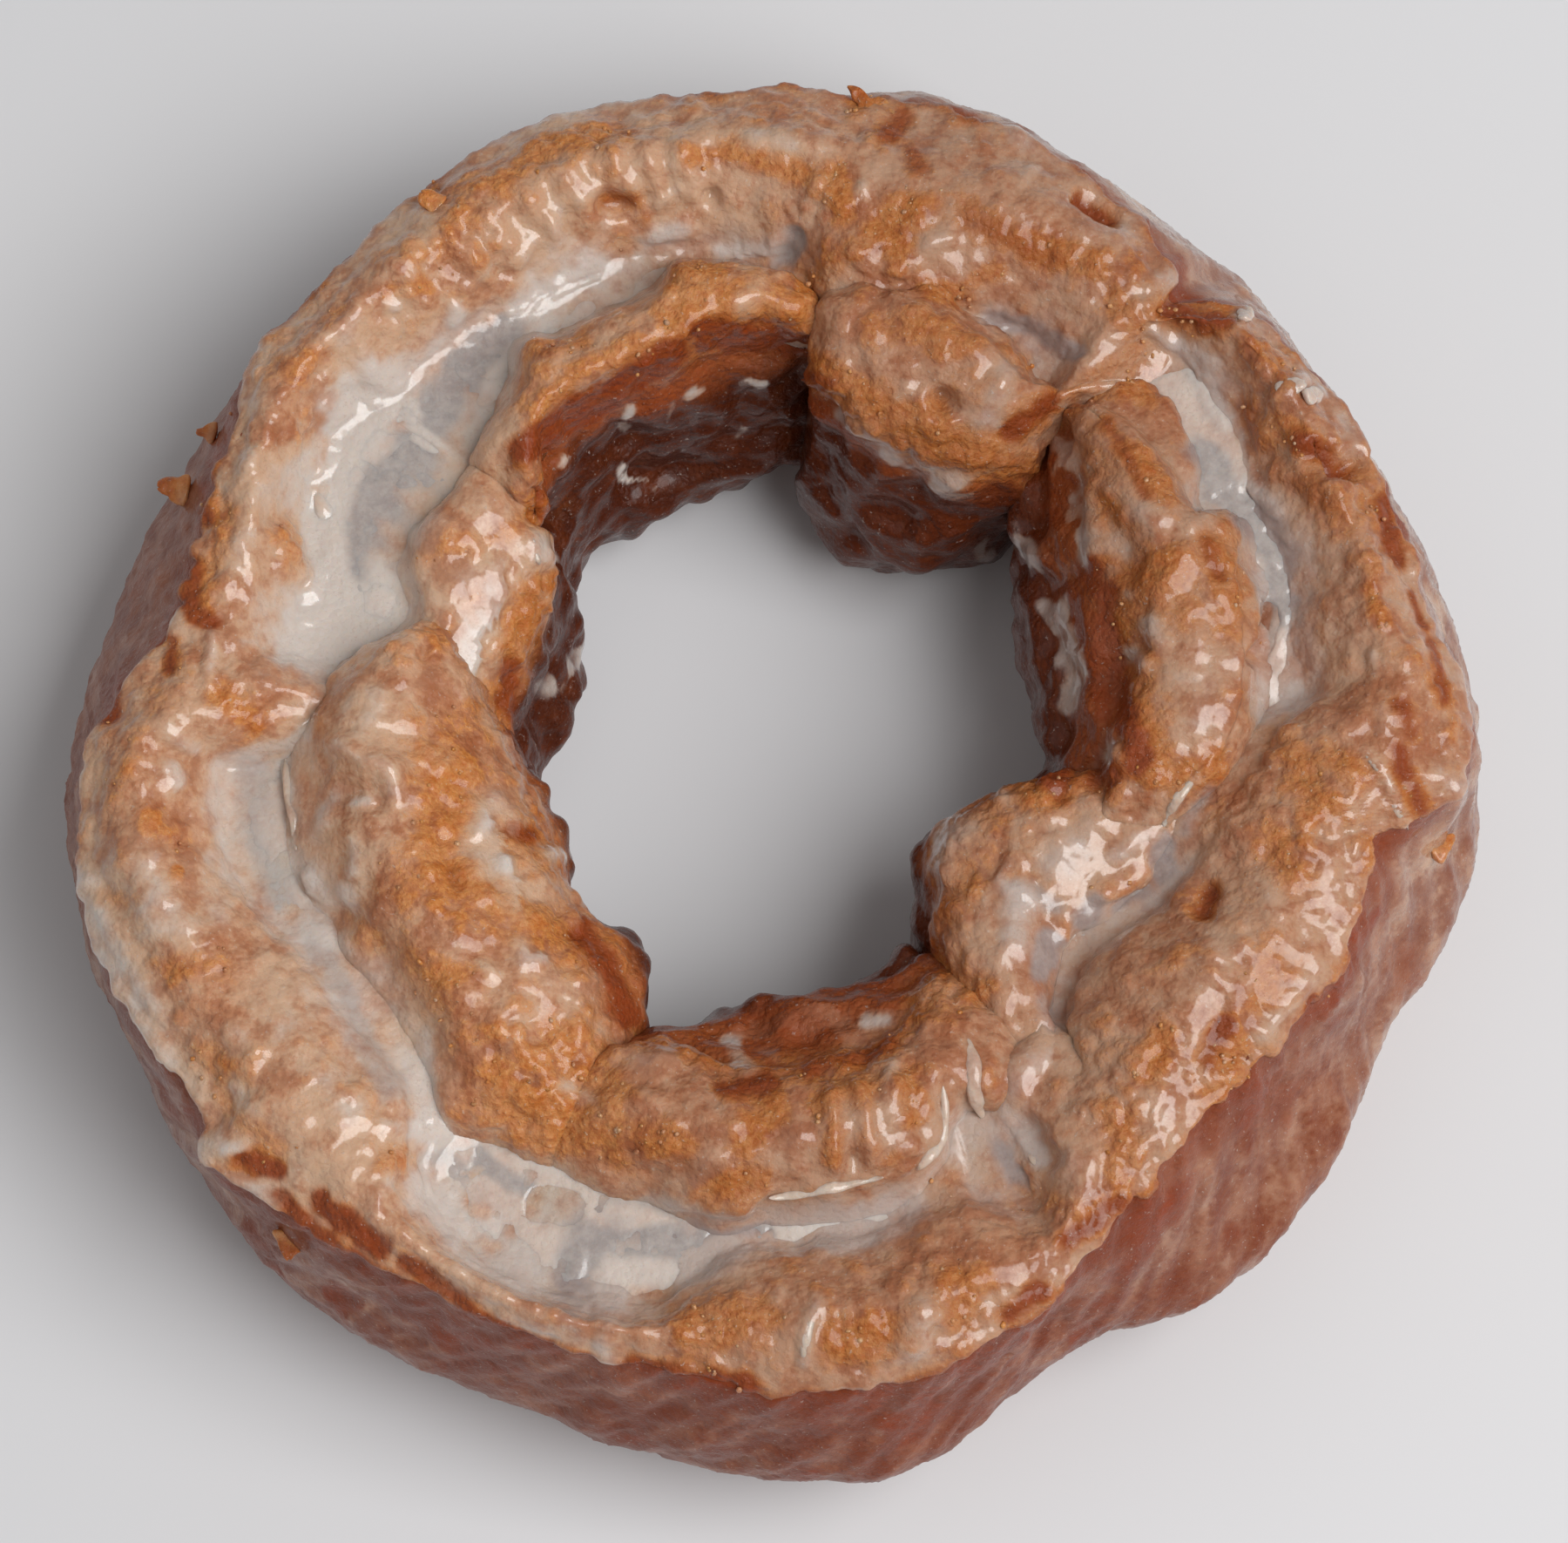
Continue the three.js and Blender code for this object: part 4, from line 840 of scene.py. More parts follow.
def new_piece(name, points, quads, triangles=None, **fields):
    """A smooth-shaded mesh object from whole arrays, with each field stored as a value per point."""
    triangles = np.empty((0, 3), int) if triangles is None else triangles
    mesh = bpy.data.meshes.new(name)
    mesh.vertices.add(len(points))
    mesh.vertices.foreach_set("co", (points * MM).astype(np.float32).ravel())
    corners = np.concatenate((quads.ravel(), triangles.ravel()))
    sizes = np.concatenate((np.full(len(quads), 4), np.full(len(triangles), 3)))
    mesh.loops.add(len(corners))
    mesh.loops.foreach_set("vertex_index", corners.astype(np.int32))
    mesh.polygons.add(len(sizes))
    mesh.polygons.foreach_set("loop_start", (np.cumsum(sizes) - sizes).astype(np.int32))
    mesh.polygons.foreach_set("use_smooth", np.ones(len(sizes), bool))
    mesh.update(calc_edges=True)
    for field, values in fields.items():
        layer = mesh.attributes.new(field, "FLOAT", "POINT")
        layer.data.foreach_set("value", np.asarray(values, np.float32).ravel())
    if mesh.validate():
        raise RuntimeError(f"{name} had faces that Blender had to repair")
    piece = bpy.data.objects.new(name, mesh)
    bpy.context.scene.collection.objects.link(piece)
    return piece


def dough_piece(name, points, quads, triangles=None, **looks):
    """A piece in the dough's finish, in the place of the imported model. Looks that aren't given are 0."""
    points = points.reshape(-1, 3)
    nothing = np.zeros(len(points))
    piece = new_piece(name, points, quads, triangles, **{look: looks.get(look, nothing) for look in LOOKS})
    piece.data.materials.append(material("glazed_dough", glazed_dough))
    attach(piece, BODY)
    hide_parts(NODE)
    return piece


def grid_faces(rows, columns, rows_close=True):
    """Quads of a grid of points numbered row by row. The columns go right round, and so may the rows.

    They face where the thumb of a right hand points when its fingers turn from the next row's point towards
    the next column's.
    """
    row = np.arange(rows if rows_close else rows - 1)[:, None]
    column = np.arange(columns)[None, :]
    next_row = (row + 1) % rows
    next_column = (column + 1) % columns
    corners = np.broadcast_arrays(
        row * columns + column, next_row * columns + column,
        next_row * columns + next_column, row * columns + next_column,
    )
    return np.stack(corners, axis=-1).reshape(-1, 4)


def closed_loft(points):
    """A tube of sections [section, point round it, xyz], closed at both ends by a fan to their middle."""
    sections, around = points.shape[:2]
    body = points.reshape(-1, 3)
    poles = points[[0, -1]].mean(axis=1)
    here = np.arange(around)
    after = (here + 1) % around
    last = (sections - 1) * around
    first_fan = np.stack((np.full(around, len(body)), here, after), axis=-1)
    last_fan = np.stack((np.full(around, len(body) + 1), last + after, last + here), axis=-1)
    quads = grid_faces(sections, around, rows_close=False)
    return np.concatenate((body, poles)), quads, np.concatenate((first_fan, last_fan))


def with_poles(field):
    """A field of a closed loft with the values of its two poles added."""
    return np.concatenate((field.ravel(), field[[0, -1]].mean(axis=1)))


# ---- finishes --------------------------------------------------------------------------------------------


class Value:
    """A socket that can be added, subtracted and multiplied."""

    def __init__(self, finish, socket):
        self.finish = finish
        self.socket = socket

    def combine(self, operation, first, second):
        return self.finish.node("ShaderNodeMath", {"operation": operation}, [first, second])

    def __add__(self, other):
        return self.combine("ADD", self, other)

    def __radd__(self, other):
        return self.combine("ADD", other, self)

    def __sub__(self, other):
        return self.combine("SUBTRACT", self, other)

    def __rsub__(self, other):
        return self.combine("SUBTRACT", other, self)

    def __mul__(self, other):
        return self.combine("MULTIPLY", self, other)

    def __rmul__(self, other):
        return self.combine("MULTIPLY", other, self)

    def sway(self, amount):
        """Noise of 0 to 1 turned into a push of up to half the amount either way."""
        return (self - 0.5) * amount


class Finish:
    """A material under construction, with one method that makes any node."""

    def __init__(self, name):
        self.material = bpy.data.materials.new(name)
        self.material.use_nodes = True
        self.tree = self.material.node_tree
        self.tree.nodes.clear()
        self.place = self.node("ShaderNodeTexCoord", output="Object")

    def node(self, kind, settings=None, inputs=(), output=0):
        """Adds a node. inputs are a list in socket order, or a dict by socket name."""
        node = self.tree.nodes.new(kind)
        for name, setting in (settings or {}).items():
            setattr(node, name, setting)
        named = inputs.items() if isinstance(inputs, dict) else enumerate(inputs)
        for name, value in named:
            socket = node.inputs[name] if isinstance(name, int) else self.open_socket(node.inputs, name)
            if isinstance(value, Value):
                self.tree.links.new(value.socket, socket)
            else:
                socket.default_value = value
        if not node.outputs:
            return None
        socket = node.outputs[output] if isinstance(output, int) else self.open_socket(node.outputs, output)
        return Value(self, socket)

    @staticmethod
    def open_socket(sockets, name):
        return next(socket for socket in sockets if socket.name == name and socket.enabled)

    def field(self, name):
        """A value that the mesh stores for each point."""
        return self.node("ShaderNodeAttribute", {"attribute_name": name}, output="Fac")

    def noise(self, size, detail, rough=0.5):
        """Smooth noise from about 0.3 to 0.7, whose lumps are about size mm across."""
        inputs = {"Vector": self.place, "Scale": 1 / (size * MM), "Detail": detail, "Roughness": rough}
        return self.node("ShaderNodeTexNoise", None, inputs, "Fac")

    def cells(self, size, place):
        """Distance to the nearest of scattered points that are about size mm apart."""
        inputs = {"Vector": place, "Scale": 1 / (size * MM)}
        return self.node("ShaderNodeTexVoronoi", {"feature": "F1"}, inputs, "Distance")

    def step(self, value, low, high):
        """0 below low, 1 above high, smooth between. low may be above high."""
        inputs = {"Value": value, "From Min": low, "From Max": high, "To Min": 0.0, "To Max": 1.0}
        return self.node("ShaderNodeMapRange", {"interpolation_type": "SMOOTHSTEP"}, inputs)

    def warped(self, noise, reach):
        """Object coordinates pushed along one diagonal by a noise of 0 to 1, at most half of reach in mm."""
        inputs = {"Vector": (1.0, 1.0, 1.0), "Scale": noise.sway(reach * MM)}
        push = self.node("ShaderNodeVectorMath", {"operation": "SCALE"}, inputs)
        return self.node("ShaderNodeVectorMath", {"operation": "ADD"}, [self.place, push])

    def mix(self, factor, first, second):
        """Blends two colours."""
        first, second = (tone if isinstance(tone, Value) else (*tone, 1.0) for tone in (first, second))
        inputs = {"Factor": factor, "A": first, "B": second}
        return self.node("ShaderNodeMix", {"data_type": "RGBA"}, inputs, "Result")

    def bump(self, height, distance):
        """A bump whose height of 1 stands distance mm proud."""
        inputs = {"Height": height, "Distance": distance * MM, "Strength": 1.0}
        return self.node("ShaderNodeBump", None, inputs, "Normal")

    def surface(self, **inputs):
        """Ends the material in one Principled BSDF. Names are socket names with _ for each space."""
        named = {name.replace("_", " "): value for name, value in inputs.items()}
        shader = self.node("ShaderNodeBsdfPrincipled", None, named)
        self.node("ShaderNodeOutputMaterial", None, {"Surface": shader})
        return self.material


def glazed_dough():
    """Fried cake dough under thin glaze.

    The mesh says where there is smooth skin, toasted edge, fried dark wall, dense and well fried dough, bare
    crumb, and glaze or grey film over it. The wall's dark is partly painted shade, deeper low in the hole,
    and the film's grey is partly painted shade of the hollows under it and a painted shadow along a shore.
    Noise of several sizes breaks up the borders between them, and small rounded beads make the crumb. Fine
    white specks are painted glints.
    """
    colours = bpy.context.scene.doughnut_colours
    finish = Finish("glazed_dough")
    large = finish.noise(6.0, 3.0)
    middle = finish.noise(1.9, 3.0, 0.6)
    fine = finish.noise(0.55, 3.0, 0.65)
    dust = finish.noise(0.22, 2.0, 0.6)
    beads = finish.cells(0.5, finish.warped(fine, 0.4))
    skin = finish.step(finish.field("skin") + middle.sway(0.4), 0.4, 0.6)
    toasted = finish.field("toast") + middle.sway(0.6) + fine.sway(0.3)
    toast = finish.step(toasted, 0.15, 0.9)
    ember = finish.step(finish.field("ember") + middle.sway(0.7), 0.2, 0.95)
    deep = finish.field("deep")
    bare = finish.field("bare") + 0.35 * finish.step(toasted, 0.0, 0.3)
    amber = finish.step(bare + large.sway(0.6) + middle.sway(0.9) + fine.sway(0.5), 0.28, 0.68)
    glaze = finish.field("glaze") + large.sway(0.5) + middle.sway(0.8) + fine.sway(0.2)
    film = finish.step(finish.field("film") + middle.sway(0.5) + fine.sway(0.1), 0.1, 0.8)
    thin = finish.step(glaze - toast * 0.9 - ember * 0.8 - amber * 0.4, -0.9, 0.6)
    thick = finish.step(glaze, 0.5, 2.1)

    dense = finish.step(middle * 0.7 + large * 0.3 + fine.sway(0.4), 0.34, 0.6)
    crumb = finish.mix(dense, colours.shade, colours.crumb)
    golden = finish.mix(finish.step(fine, 0.3, 0.7), colours.honey, colours.amber)
    crumb = finish.mix(amber * 0.9, crumb, golden)
    streaks = finish.step(large * 0.6 + middle * 0.4 + fine.sway(0.3), 0.3, 0.66)
    tone = finish.mix(skin, crumb, finish.mix(streaks, colours.rind, colours.skin))
    tone = finish.mix(toast * 0.9, tone, finish.mix(streaks * 0.5, colours.toast, colours.rind))
    tone = finish.mix(ember * 0.95, tone, colours.ember)
    pale = finish.step(large * 0.55 + middle * 0.45 + fine.sway(0.15), 0.41, 0.58)
    tone = finish.mix(thin * (0.36 + 0.54 * pale), tone, colours.veil)
    tone = finish.mix(thick * 0.9, tone, colours.frost_and_glint)
    fibres = finish.step(fine * 0.6 + middle * 0.4, 0.36, 0.64)
    tone = finish.mix(film * 0.9, tone, finish.mix(fibres * 0.3, colours.film, colours.frost_and_glint))
    tone = finish.mix(deep * 0.4, tone, colours.rind)
    spots = finish.step(dust + middle.sway(0.4), 0.6, 0.72)
    tone = finish.mix(spots * 0.15 * (1 - film), tone, colours.rind)
    # Painted highlights: tiny specks of the thick glaze's colour where fine noise peaks. They stand in for
    # the small glints of light on the wet glaze.
    painted_glints = finish.step(dust + fine.sway(0.6), 0.66, 0.78)
    tone = finish.mix(painted_glints * 0.35 * (1 - film), tone, colours.frost_and_glint)

    rough = 0.42 - 0.1 * thin - 0.06 * skin + fine.sway(0.3)
    coat = 0.85 * thin + 0.1 + 0.05 * skin + 0.2 * ember + 0.3 * amber
    beaded = (0.5 - beads) * (1 - 0.7 * skin) * (1 - 0.8 * film)
    rise = beaded + fine.sway(0.7) + film * (middle - 0.5) * 1.6 + dust.sway(0.35 + 0.4 * amber)
    normal = finish.bump(rise * (1 - 0.5 * thin) * (1 - 0.3 * thick), 0.14)
    return finish.surface(
        Base_Color=tone, Roughness=rough, Normal=normal, Coat_Weight=coat, Coat_Roughness=0.12,
        Specular_IOR_Level=0.16, Subsurface_Weight=0.35, Subsurface_Radius=(1.0, 0.55, 0.35),
        Subsurface_Scale=1.2 * MM,
    )


def floor_finish():
    """Plain pale table with the faintest unevenness."""
    colours = bpy.context.scene.doughnut_colours
    finish = Finish("pale_floor")
    cloud = finish.noise(60.0, 2.0)
    tone = finish.mix(finish.step(cloud, 0.3, 0.7) * 0.06, colours.floor, colours.frost_and_glint)
    return finish.surface(Base_Color=tone, Roughness=0.55 + cloud.sway(0.1), Specular_IOR_Level=0.3)


def material(name, maker):
    """The material of that name, made once."""
    return bpy.data.materials.get(name) or maker()


# ---- dressing the dough ----------------------------------------------------------------------------------

GRAIN = Grain(11)
GLAZE_SHOWN = 0.75


def strokes(points, marks, pile=False):
    """How strongly the marks cover each point: each is its strength close to its line and 0 beyond its width.

    The edges are made ragged by noise. Where marks cross, the strongest counts, or with pile their sum.
    """
    flat = points.reshape(-1, 3)
    ragged = GRAIN.waves(flat + 600, 1.4)
    lean = flat[:, 1] + MARK_LEAN * (flat[:, 2] - MARK_HEIGHT)
    across = np.stack((flat[:, 0], lean), axis=-1)
    field = np.zeros(len(flat))
    for width, strength, *places in marks:
        azimuth, radius = np.array(places, float).T
        path = turned(radius, 0, azimuth)[:, :2]
        reach = MARK_EDGE[0] * width + 0.5
        close = (across > path.min(axis=0) - reach) & (across < path.max(axis=0) + reach)
        near = np.flatnonzero(close.all(axis=1))
        here = across[near]
        away = np.full(len(near), FAR)
        for start, end in zip(path, path[1:]):
            run = end - start
            share = np.clip((here - start) @ run / float(run @ run), 0, 1)
            away = np.minimum(away, np.linalg.norm(here - start - share[:, None] * run, axis=1))
        mark = strength * between(*MARK_EDGE, away / width + MARK_RAG * ragged[near])
        field[near] = field[near] + mark if pile else np.maximum(field[near], mark)
    return field.reshape(points.shape[:-1])


def all_marks(points):
    """How strongly the white, the grey, the bare and the toasted marks cover each point."""
    return [strokes(points, marks) for marks in (WHITE_GLAZE_AND_GLINT_MARKS, GREY_FILM_AND_SHADE_MARKS, BARE_MARKS, TOAST_MARKS)]


def glaze_cover(points):
    """Where glaze lies, about 0 to 1: slow waves, broken by quicker ones."""
    return 0.56 + 0.3 * GRAIN.waves(points + 210, 9.0) + 0.25 * GRAIN.layers(points + 250, 4.0, 2)


def settle(points, level):
    """Raises what lies under the pooled glaze to just below its skin, with a soft fillet where it comes up.

    The height becomes b + k log(1 + exp((z - b) / k)), with b a little under the level.
    """
    base = level - POOL_SINK
    points = points.copy()
    points[..., 2] = base + POOL_FILLET * np.logaddexp(0, (points[..., 2] - base) / POOL_FILLET)
    return points


def dress(points, normals, torn, size, level=None, wall=0.0):
    """Gives smooth dough its relief and its glaze, and says how each point looks.

    The crumb is knobs of slow noise and heaps of rounded pebbles. Glaze fills it up to a level that waves and
    marks raise and lower, and a share of its depth shows. Then the dough settles into the pools.
    """
    sizes = bpy.context.scene.doughnut_sizes
    # white holds the white marks, painted highlights among them, and lays them all as glaze.
    white, grey, bare, toast = all_marks(points)
    dents = strokes(points, HEIGHT_MARKS, pile=True) + 0.15 * white
    fried = Curve(WELL_FRIED)(np.degrees(np.arctan2(points[..., 1], points[..., 0])))
    coarse = between(-0.4, 0.4, GRAIN.waves(points + 90, 6.0))
    grain = 0.5 * (1 - GRAIN.pebbles(points, 1.8) ** 2) + 0.5 * (1 - GRAIN.pebbles(points + 17, 0.95) ** 2)
    clumps = np.abs(GRAIN.waves(points + 40, 4.4)) + 0.7 * np.abs(GRAIN.waves(points + 47, 2.4)) - 0.5
    crumb = torn * (sizes.knobs * clumps + sizes.crumb * (0.5 + 0.6 * coarse) * (grain - 0.5))
    cover = glaze_cover(points) + 0.4 * white - 0.45 * bare - 0.25 * toast - 0.25 * wall - 0.15 * fried
    shore = 0 * cover
    if level is not None:
        shore = between(4.2, 0.0, points[..., 2] - level)
        cover = cover + 0.35 * shore
    depth = soft_above(sizes.glaze * (cover - 0.5) - crumb, 0.12)
    skin = 0.12 * torn * GRAIN.layers(points + 60, 1.3, 2, 0.7) + 0.14 * torn * GRAIN.waves(points + 65, 2.8)
    rise = sizes.swell * GRAIN.waves(points, 12.0) + crumb + GLAZE_SHOWN * depth * torn + dents * torn + skin
    shaped = points + normals * (rise * size)[..., None]
    if level is not None:
        shaped = settle(shaped, level)
    runs = 1.3 * wall * between(0.05, 0.4, GRAIN.layers(points + 130, 4.2, 3, 0.6))
    laid = depth / GLAZE_SHOWN + (0.6 + 1.6 * wall) * white - 0.35 * bare
    looks = {
        "glaze": laid + 0.9 * shore * (1 - toast) - 0.9 * wall + runs,
        "film": grey * (1 - 0.8 * white),
        "toast": toast,
        "deep": fried,
        "bare": 0.15 * coarse + 0.5 * between(0.1, 0.5, crumb) + 0.6 * bare + 0.2 * fried,
    }
    return shaped, looks


# ---- pieces ----------------------------------------------------------------------------------------------


def ring_azimuths(columns):
    """Azimuths all round the ring, the same step apart."""
    return np.arange(columns) * TURN / columns


def outlines(columns):
    """The azimuths of the ring's columns, with every outline at them and the border of the side's skin."""
    azimuth = ring_azimuths(columns)
    names = ("side", "crest", "groove", "floor", "top", "share", "level")
    knots = (SIDE, CREST, GROOVE, FLOOR, TOP, BORDER, GLAZE_LEVEL)
    line = {name: Curve(values)(azimuth) for name, values in zip(names, knots)}
    line["azimuth"] = azimuth
    line["crest_height"] = CREST_HEIGHT + 0.2 * (CREST_RADIUS - line["crest"])
    line["shoulder"], line["shoulder_height"] = rail(SHOULDER, azimuth, closed=True)
    rim = turned(44.0, 24.0, azimuth)
    ragged = 0.10 * GRAIN.waves(rim + 700, 5.0) + 0.09 * GRAIN.waves(rim + 720, 1.8)
    ragged = ragged + 0.03 * GRAIN.waves(rim, 0.8)
    out = line["shoulder"] - line["crest"]
    down = line["shoulder_height"] - line["crest_height"]
    share = np.clip(line["share"] + ragged, 0.7 / np.hypot(out, down), 0.8)
    bulge = BORDER_BULGE * np.sin(np.pi * share)
    line["border"] = line["crest"] + share * out + bulge
    line["border_height"] = line["crest_height"] + share * down + bulge
    return line


def lofted(azimuth, corners, spacings, size=None):
    """A closed section carried round the hole: its points, their outward normals and their places in it.

    With a size for each azimuth it is a lobe, whose sections shrink towards the spine inside it.
    """
    steps = section_steps(corners, spacings)
    section = closed_section(corners, steps)
    if size is not None:
        spine = np.array(LOBE_SPINE)[None, :, None]
        section = spine + (section - spine) * size
    points = turned(section[:, 0], section[:, 1], azimuth)
    return points, lie_of(points, whole_ring=size is None), section_places(steps)[:, None]


def make_side():
    """The smooth crust of the side, from the flat base up to its ragged border, closed inside the dough.

    Its wrinkles are noise on a cylinder, pressed flatter in height and turned as they rise, so they lean.
    """
    sizes = bpy.context.scene.doughnut_sizes
    line = outlines(sizes.side_columns)
    azimuth, border, border_height = line["azimuth"], line["border"], line["border_height"]
    corners = (
        # the flat base, and up the side to its border
        (BASE_INNER_RADIUS, 0), ((BASE_INNER_RADIUS + BASE_OUTER_RADIUS) / 2, 0), (BASE_OUTER_RADIUS, 0),
        (line["side"] - 2.6, 4), (line["side"], SIDE_HEIGHT), (line["shoulder"], line["shoulder_height"]),
        (border, border_height),
        # back through the dough
        (border - 1.6, border_height - 1.0), (border - 5, border_height - 5), (30, 12),
        (BASE_INNER_RADIUS, 5),
    )
    points, normals, place = lofted(azimuth, corners, (3, 1.6, 0.8, 0.5, 0.4, 0.32, 0.6, 2, 3, 3, 3))
    free = between(0.3, 3.0, points[..., 2]) * between(8.0, 7.0, place)
    skewed = turned(SIDE_RADIUS, 0.35 * points[..., 2], azimuth - 0.9 * points[..., 2])
    wrinkle = sizes.wrinkle * (GRAIN.layers(skewed, 3.2, 4, 0.65) + 0.8 * GRAIN.waves(points + 640, 5.0))
    shaped, looks = dress(points, normals, SIDE_TORN, free)
    shaped = shaped + normals * (wrinkle * free)[..., None]
    shaped[..., 2] = np.maximum(shaped[..., 2], 0)

    edge = between(5.2, 5.95, place + 0.2 * GRAIN.waves(points + 330, 2.5))
    fried = Curve(SIDE_FRIED)(azimuth)
    blotches = 0.3 * between(0, 0.7, GRAIN.waves(points + 400, 8.0))
    burnt = 0.7 * fried * between(0.05, 0.5, GRAIN.layers(points + 500, 5.0, 3))
    looks["toast"] = np.maximum(looks["toast"], 0.5 * edge) + blotches + burnt
    looks["glaze"] = glaze_cover(points + 77) + Curve(SIDE_GLAZE)(azimuth) - 0.2 * edge - 1
    looks["bare"] = looks["bare"] * edge * 0.5
    looks["deep"] = 1.3 * fried + (1.1 + 0.8 * fried) * GRAIN.layers(skewed + 60, 2.0, 4, 0.7)
    looks["skin"] = np.ones(points.shape[:2])
    looks["film"] = 0 * looks["skin"]
    return dough_piece("side_crust", shaped, grid_faces(*points.shape[:2])[:, ::-1], **looks)


def make_top():
    """The torn top of the ring, from its ragged lip over the crest down into the groove, closed inside."""
    line = outlines(bpy.context.scene.doughnut_sizes.top_columns)
    azimuth, border, border_height = line["azimuth"], line["border"], line["border_height"]
    crest, groove, floor, top = (line[name] for name in ("crest", "groove", "floor", "top"))
    core = np.minimum(lobe_edge()(azimuth) - 3.0, groove - 5.5)
    corners = (
        # the lip, the crest, the top, and down into the groove
        (border - 0.9, border_height - 1.3), (border - 0.05, border_height - 0.1),
        (crest, line["crest_height"]), (crest + 0.42 * (groove - crest), top),
        (groove + 0.8, (top + floor) / 2 + 0.8),
        (groove - 0.8, floor + 1.2), (groove - 3.2, floor),
        # back through the dough
        (core + 1, floor - 1), (core, 9), (36, 12), (border - 4, border_height - 5),
    )
    points, normals, place = lofted(azimuth, corners, (0.5, 0.22, 0.24, 0.25, 0.27, 0.4, 0.7, 3, 5, 3, 2.5))
    free = between(0.2, 0.8, place) * between(7.6, 6.8, place)
    shaped, looks = dress(points, normals, 1, free, line["level"])
    edge = between(1.9, 1.0, place + 0.3 * GRAIN.waves(points + 330, 2.5))
    looks["toast"] = np.maximum(looks["toast"], 0.6 * edge)
    looks["glaze"] = looks["glaze"] - 0.5 * edge
    return dough_piece("torn_top", shaped, grid_faces(*points.shape[:2])[:, ::-1], **looks)


def make_lobe(name, lobe):
    """One torn lobe: a loft through its lines, whose sections shrink at both ends to a spine inside it.

    Along the lobe a section has size (1 - |along|^power)^(1 / power), with the power that its ends give.
    """
    start, end = lobe["span"]
    length = math.radians(end - start) * LOBE_SPINE[0]
    along = eased(int(length / bpy.context.scene.doughnut_sizes.lobe_step))
    azimuth = (start + end) / 2 + along * (end - start) / 2
    power = np.where(along < 0, *lobe["ends"])
    size = (1 - np.abs(along) ** power) ** (1 / power)
    edge, edge_height = rail(lobe["edge"], azimuth)
    foot, foot_height = rail(lobe["foot"], azimuth)
    over = [rail(knots, azimuth) for knots in lobe["top"]]
    down = [rail(knots, azimuth) for knots in lobe["wall"]]
    corners = (
        (edge + 1.3, 16), (edge + 0.3, edge_height - 2.0), (edge - 0.8, edge_height + 0.05), *over,
        rail(lobe["crest"], azimuth), *down, (foot, foot_height),
        # back through the dough
        (foot + 1.2, 0.45 * foot_height), (foot + 5, 1.0), (LOBE_SPINE[0], 3.0),
    )
    spacings = (1.2, 0.35, *[0.26] * (len(over) + 2), *[0.28] * len(down), 0.6, 1.5, 3, 3)
    points, normals, place = lofted(azimuth, corners, spacings, size)
    crest = 3 + len(over)
    place = place + 0.2 * GRAIN.waves(points + 330, 3.0)
    wall = between(crest + 0.1, crest + 0.9, place)
    lip = between(crest - 0.7, crest + 0.2, place) * (1 - between(crest + 0.2, crest + 0.5, place))
    level = Curve(GLAZE_LEVEL)(azimuth) - 40 * between(1.0, 0.9, size)
    level = np.where(place < crest - 0.5, level, NO_POOL)
    free = between(0.0, 0.4, size) * between(0.4, 2.5, points[..., 2])
    rough = 0.35 * lip * np.abs(GRAIN.layers(points + 450, 2.2, 3, 0.7))
    rough = rough + 1.1 * wall * GRAIN.layers(points + 460, 4.4, 2, 0.5)
    # Painted shade: the wall is painted darker the lower it goes into the hole, on top of its fried colour.
    ember = 0.85 * between(22.5, 17.0, points[..., 2]) * wall
    points = points + normals * (rough * free)[..., None]
    shaped, looks = dress(points, normals, 1 - 0.6 * wall, free, level, wall)
    looks["toast"] = np.maximum(looks["toast"], 0.4 * lip + 0.7 * wall)
    looks["bare"] = looks["bare"] * (1 - 0.6 * wall)
    looks["ember"] = ember
    looks["skin"] = 0.3 * wall
    body, quads, triangles = closed_loft(np.swapaxes(shaped, 0, 1))
    looks = {look: with_poles(values.T) for look, values in looks.items()}
    return dough_piece(name, body, quads, triangles, **looks)


def make_pools():
    """The skin of the pooled glaze, one closed band that goes right round the groove.

    It reaches into the ring and into the lobes on both sides, so its shore is where it meets them, and it
    lies hidden in the dough between the pools.
    """
    azimuth = ring_azimuths(bpy.context.scene.doughnut_sizes.pool_columns)
    outer = Curve(GROOVE)(azimuth) + POOL_INTO_RING
    inner = lobe_edge()(azimuth) - POOL_INTO_LOBES
    level = Curve(GLAZE_LEVEL)(azimuth)
    across = np.linspace(0, 1, POOL_ROWS)[:, None]
    upper = turned(inner + across * (outer - inner), level, azimuth)
    swell = 0.10 * GRAIN.layers(upper + 500, 3.5, 3, 0.5) + 0.12 * strokes(upper, WHITE_GLAZE_AND_GLINT_MARKS)
    crease = 0.14 * GRAIN.layers(upper + 540, 1.1, 2, 0.6) * strokes(upper, GREY_FILM_AND_SHADE_MARKS)
    upper[..., 2] += swell + crease + 0.7 * strokes(upper, HEIGHT_MARKS, pile=True)
    lower = turned(outer - across[::6] * (outer - inner), level - POOL_DEPTH, azimuth)
    band = np.concatenate((upper, lower))
    white, grey, bare, toast = all_marks(band)
    glaze = 1.6 + 0.5 * (glaze_cover(band) - 0.5) + 0.6 * white - 0.8 * bare - 2 * toast
    # Painted shade: the grey of the film marks, partly the shade of hollows under the glaze and a shadow
    # along a shore.
    film = grey * (1 - 0.8 * white) * (1 - toast)
    return dough_piece("glaze_pools", band, grid_faces(*band.shape[:2]), glaze=glaze, film=film, toast=toast,
                       bare=bare)


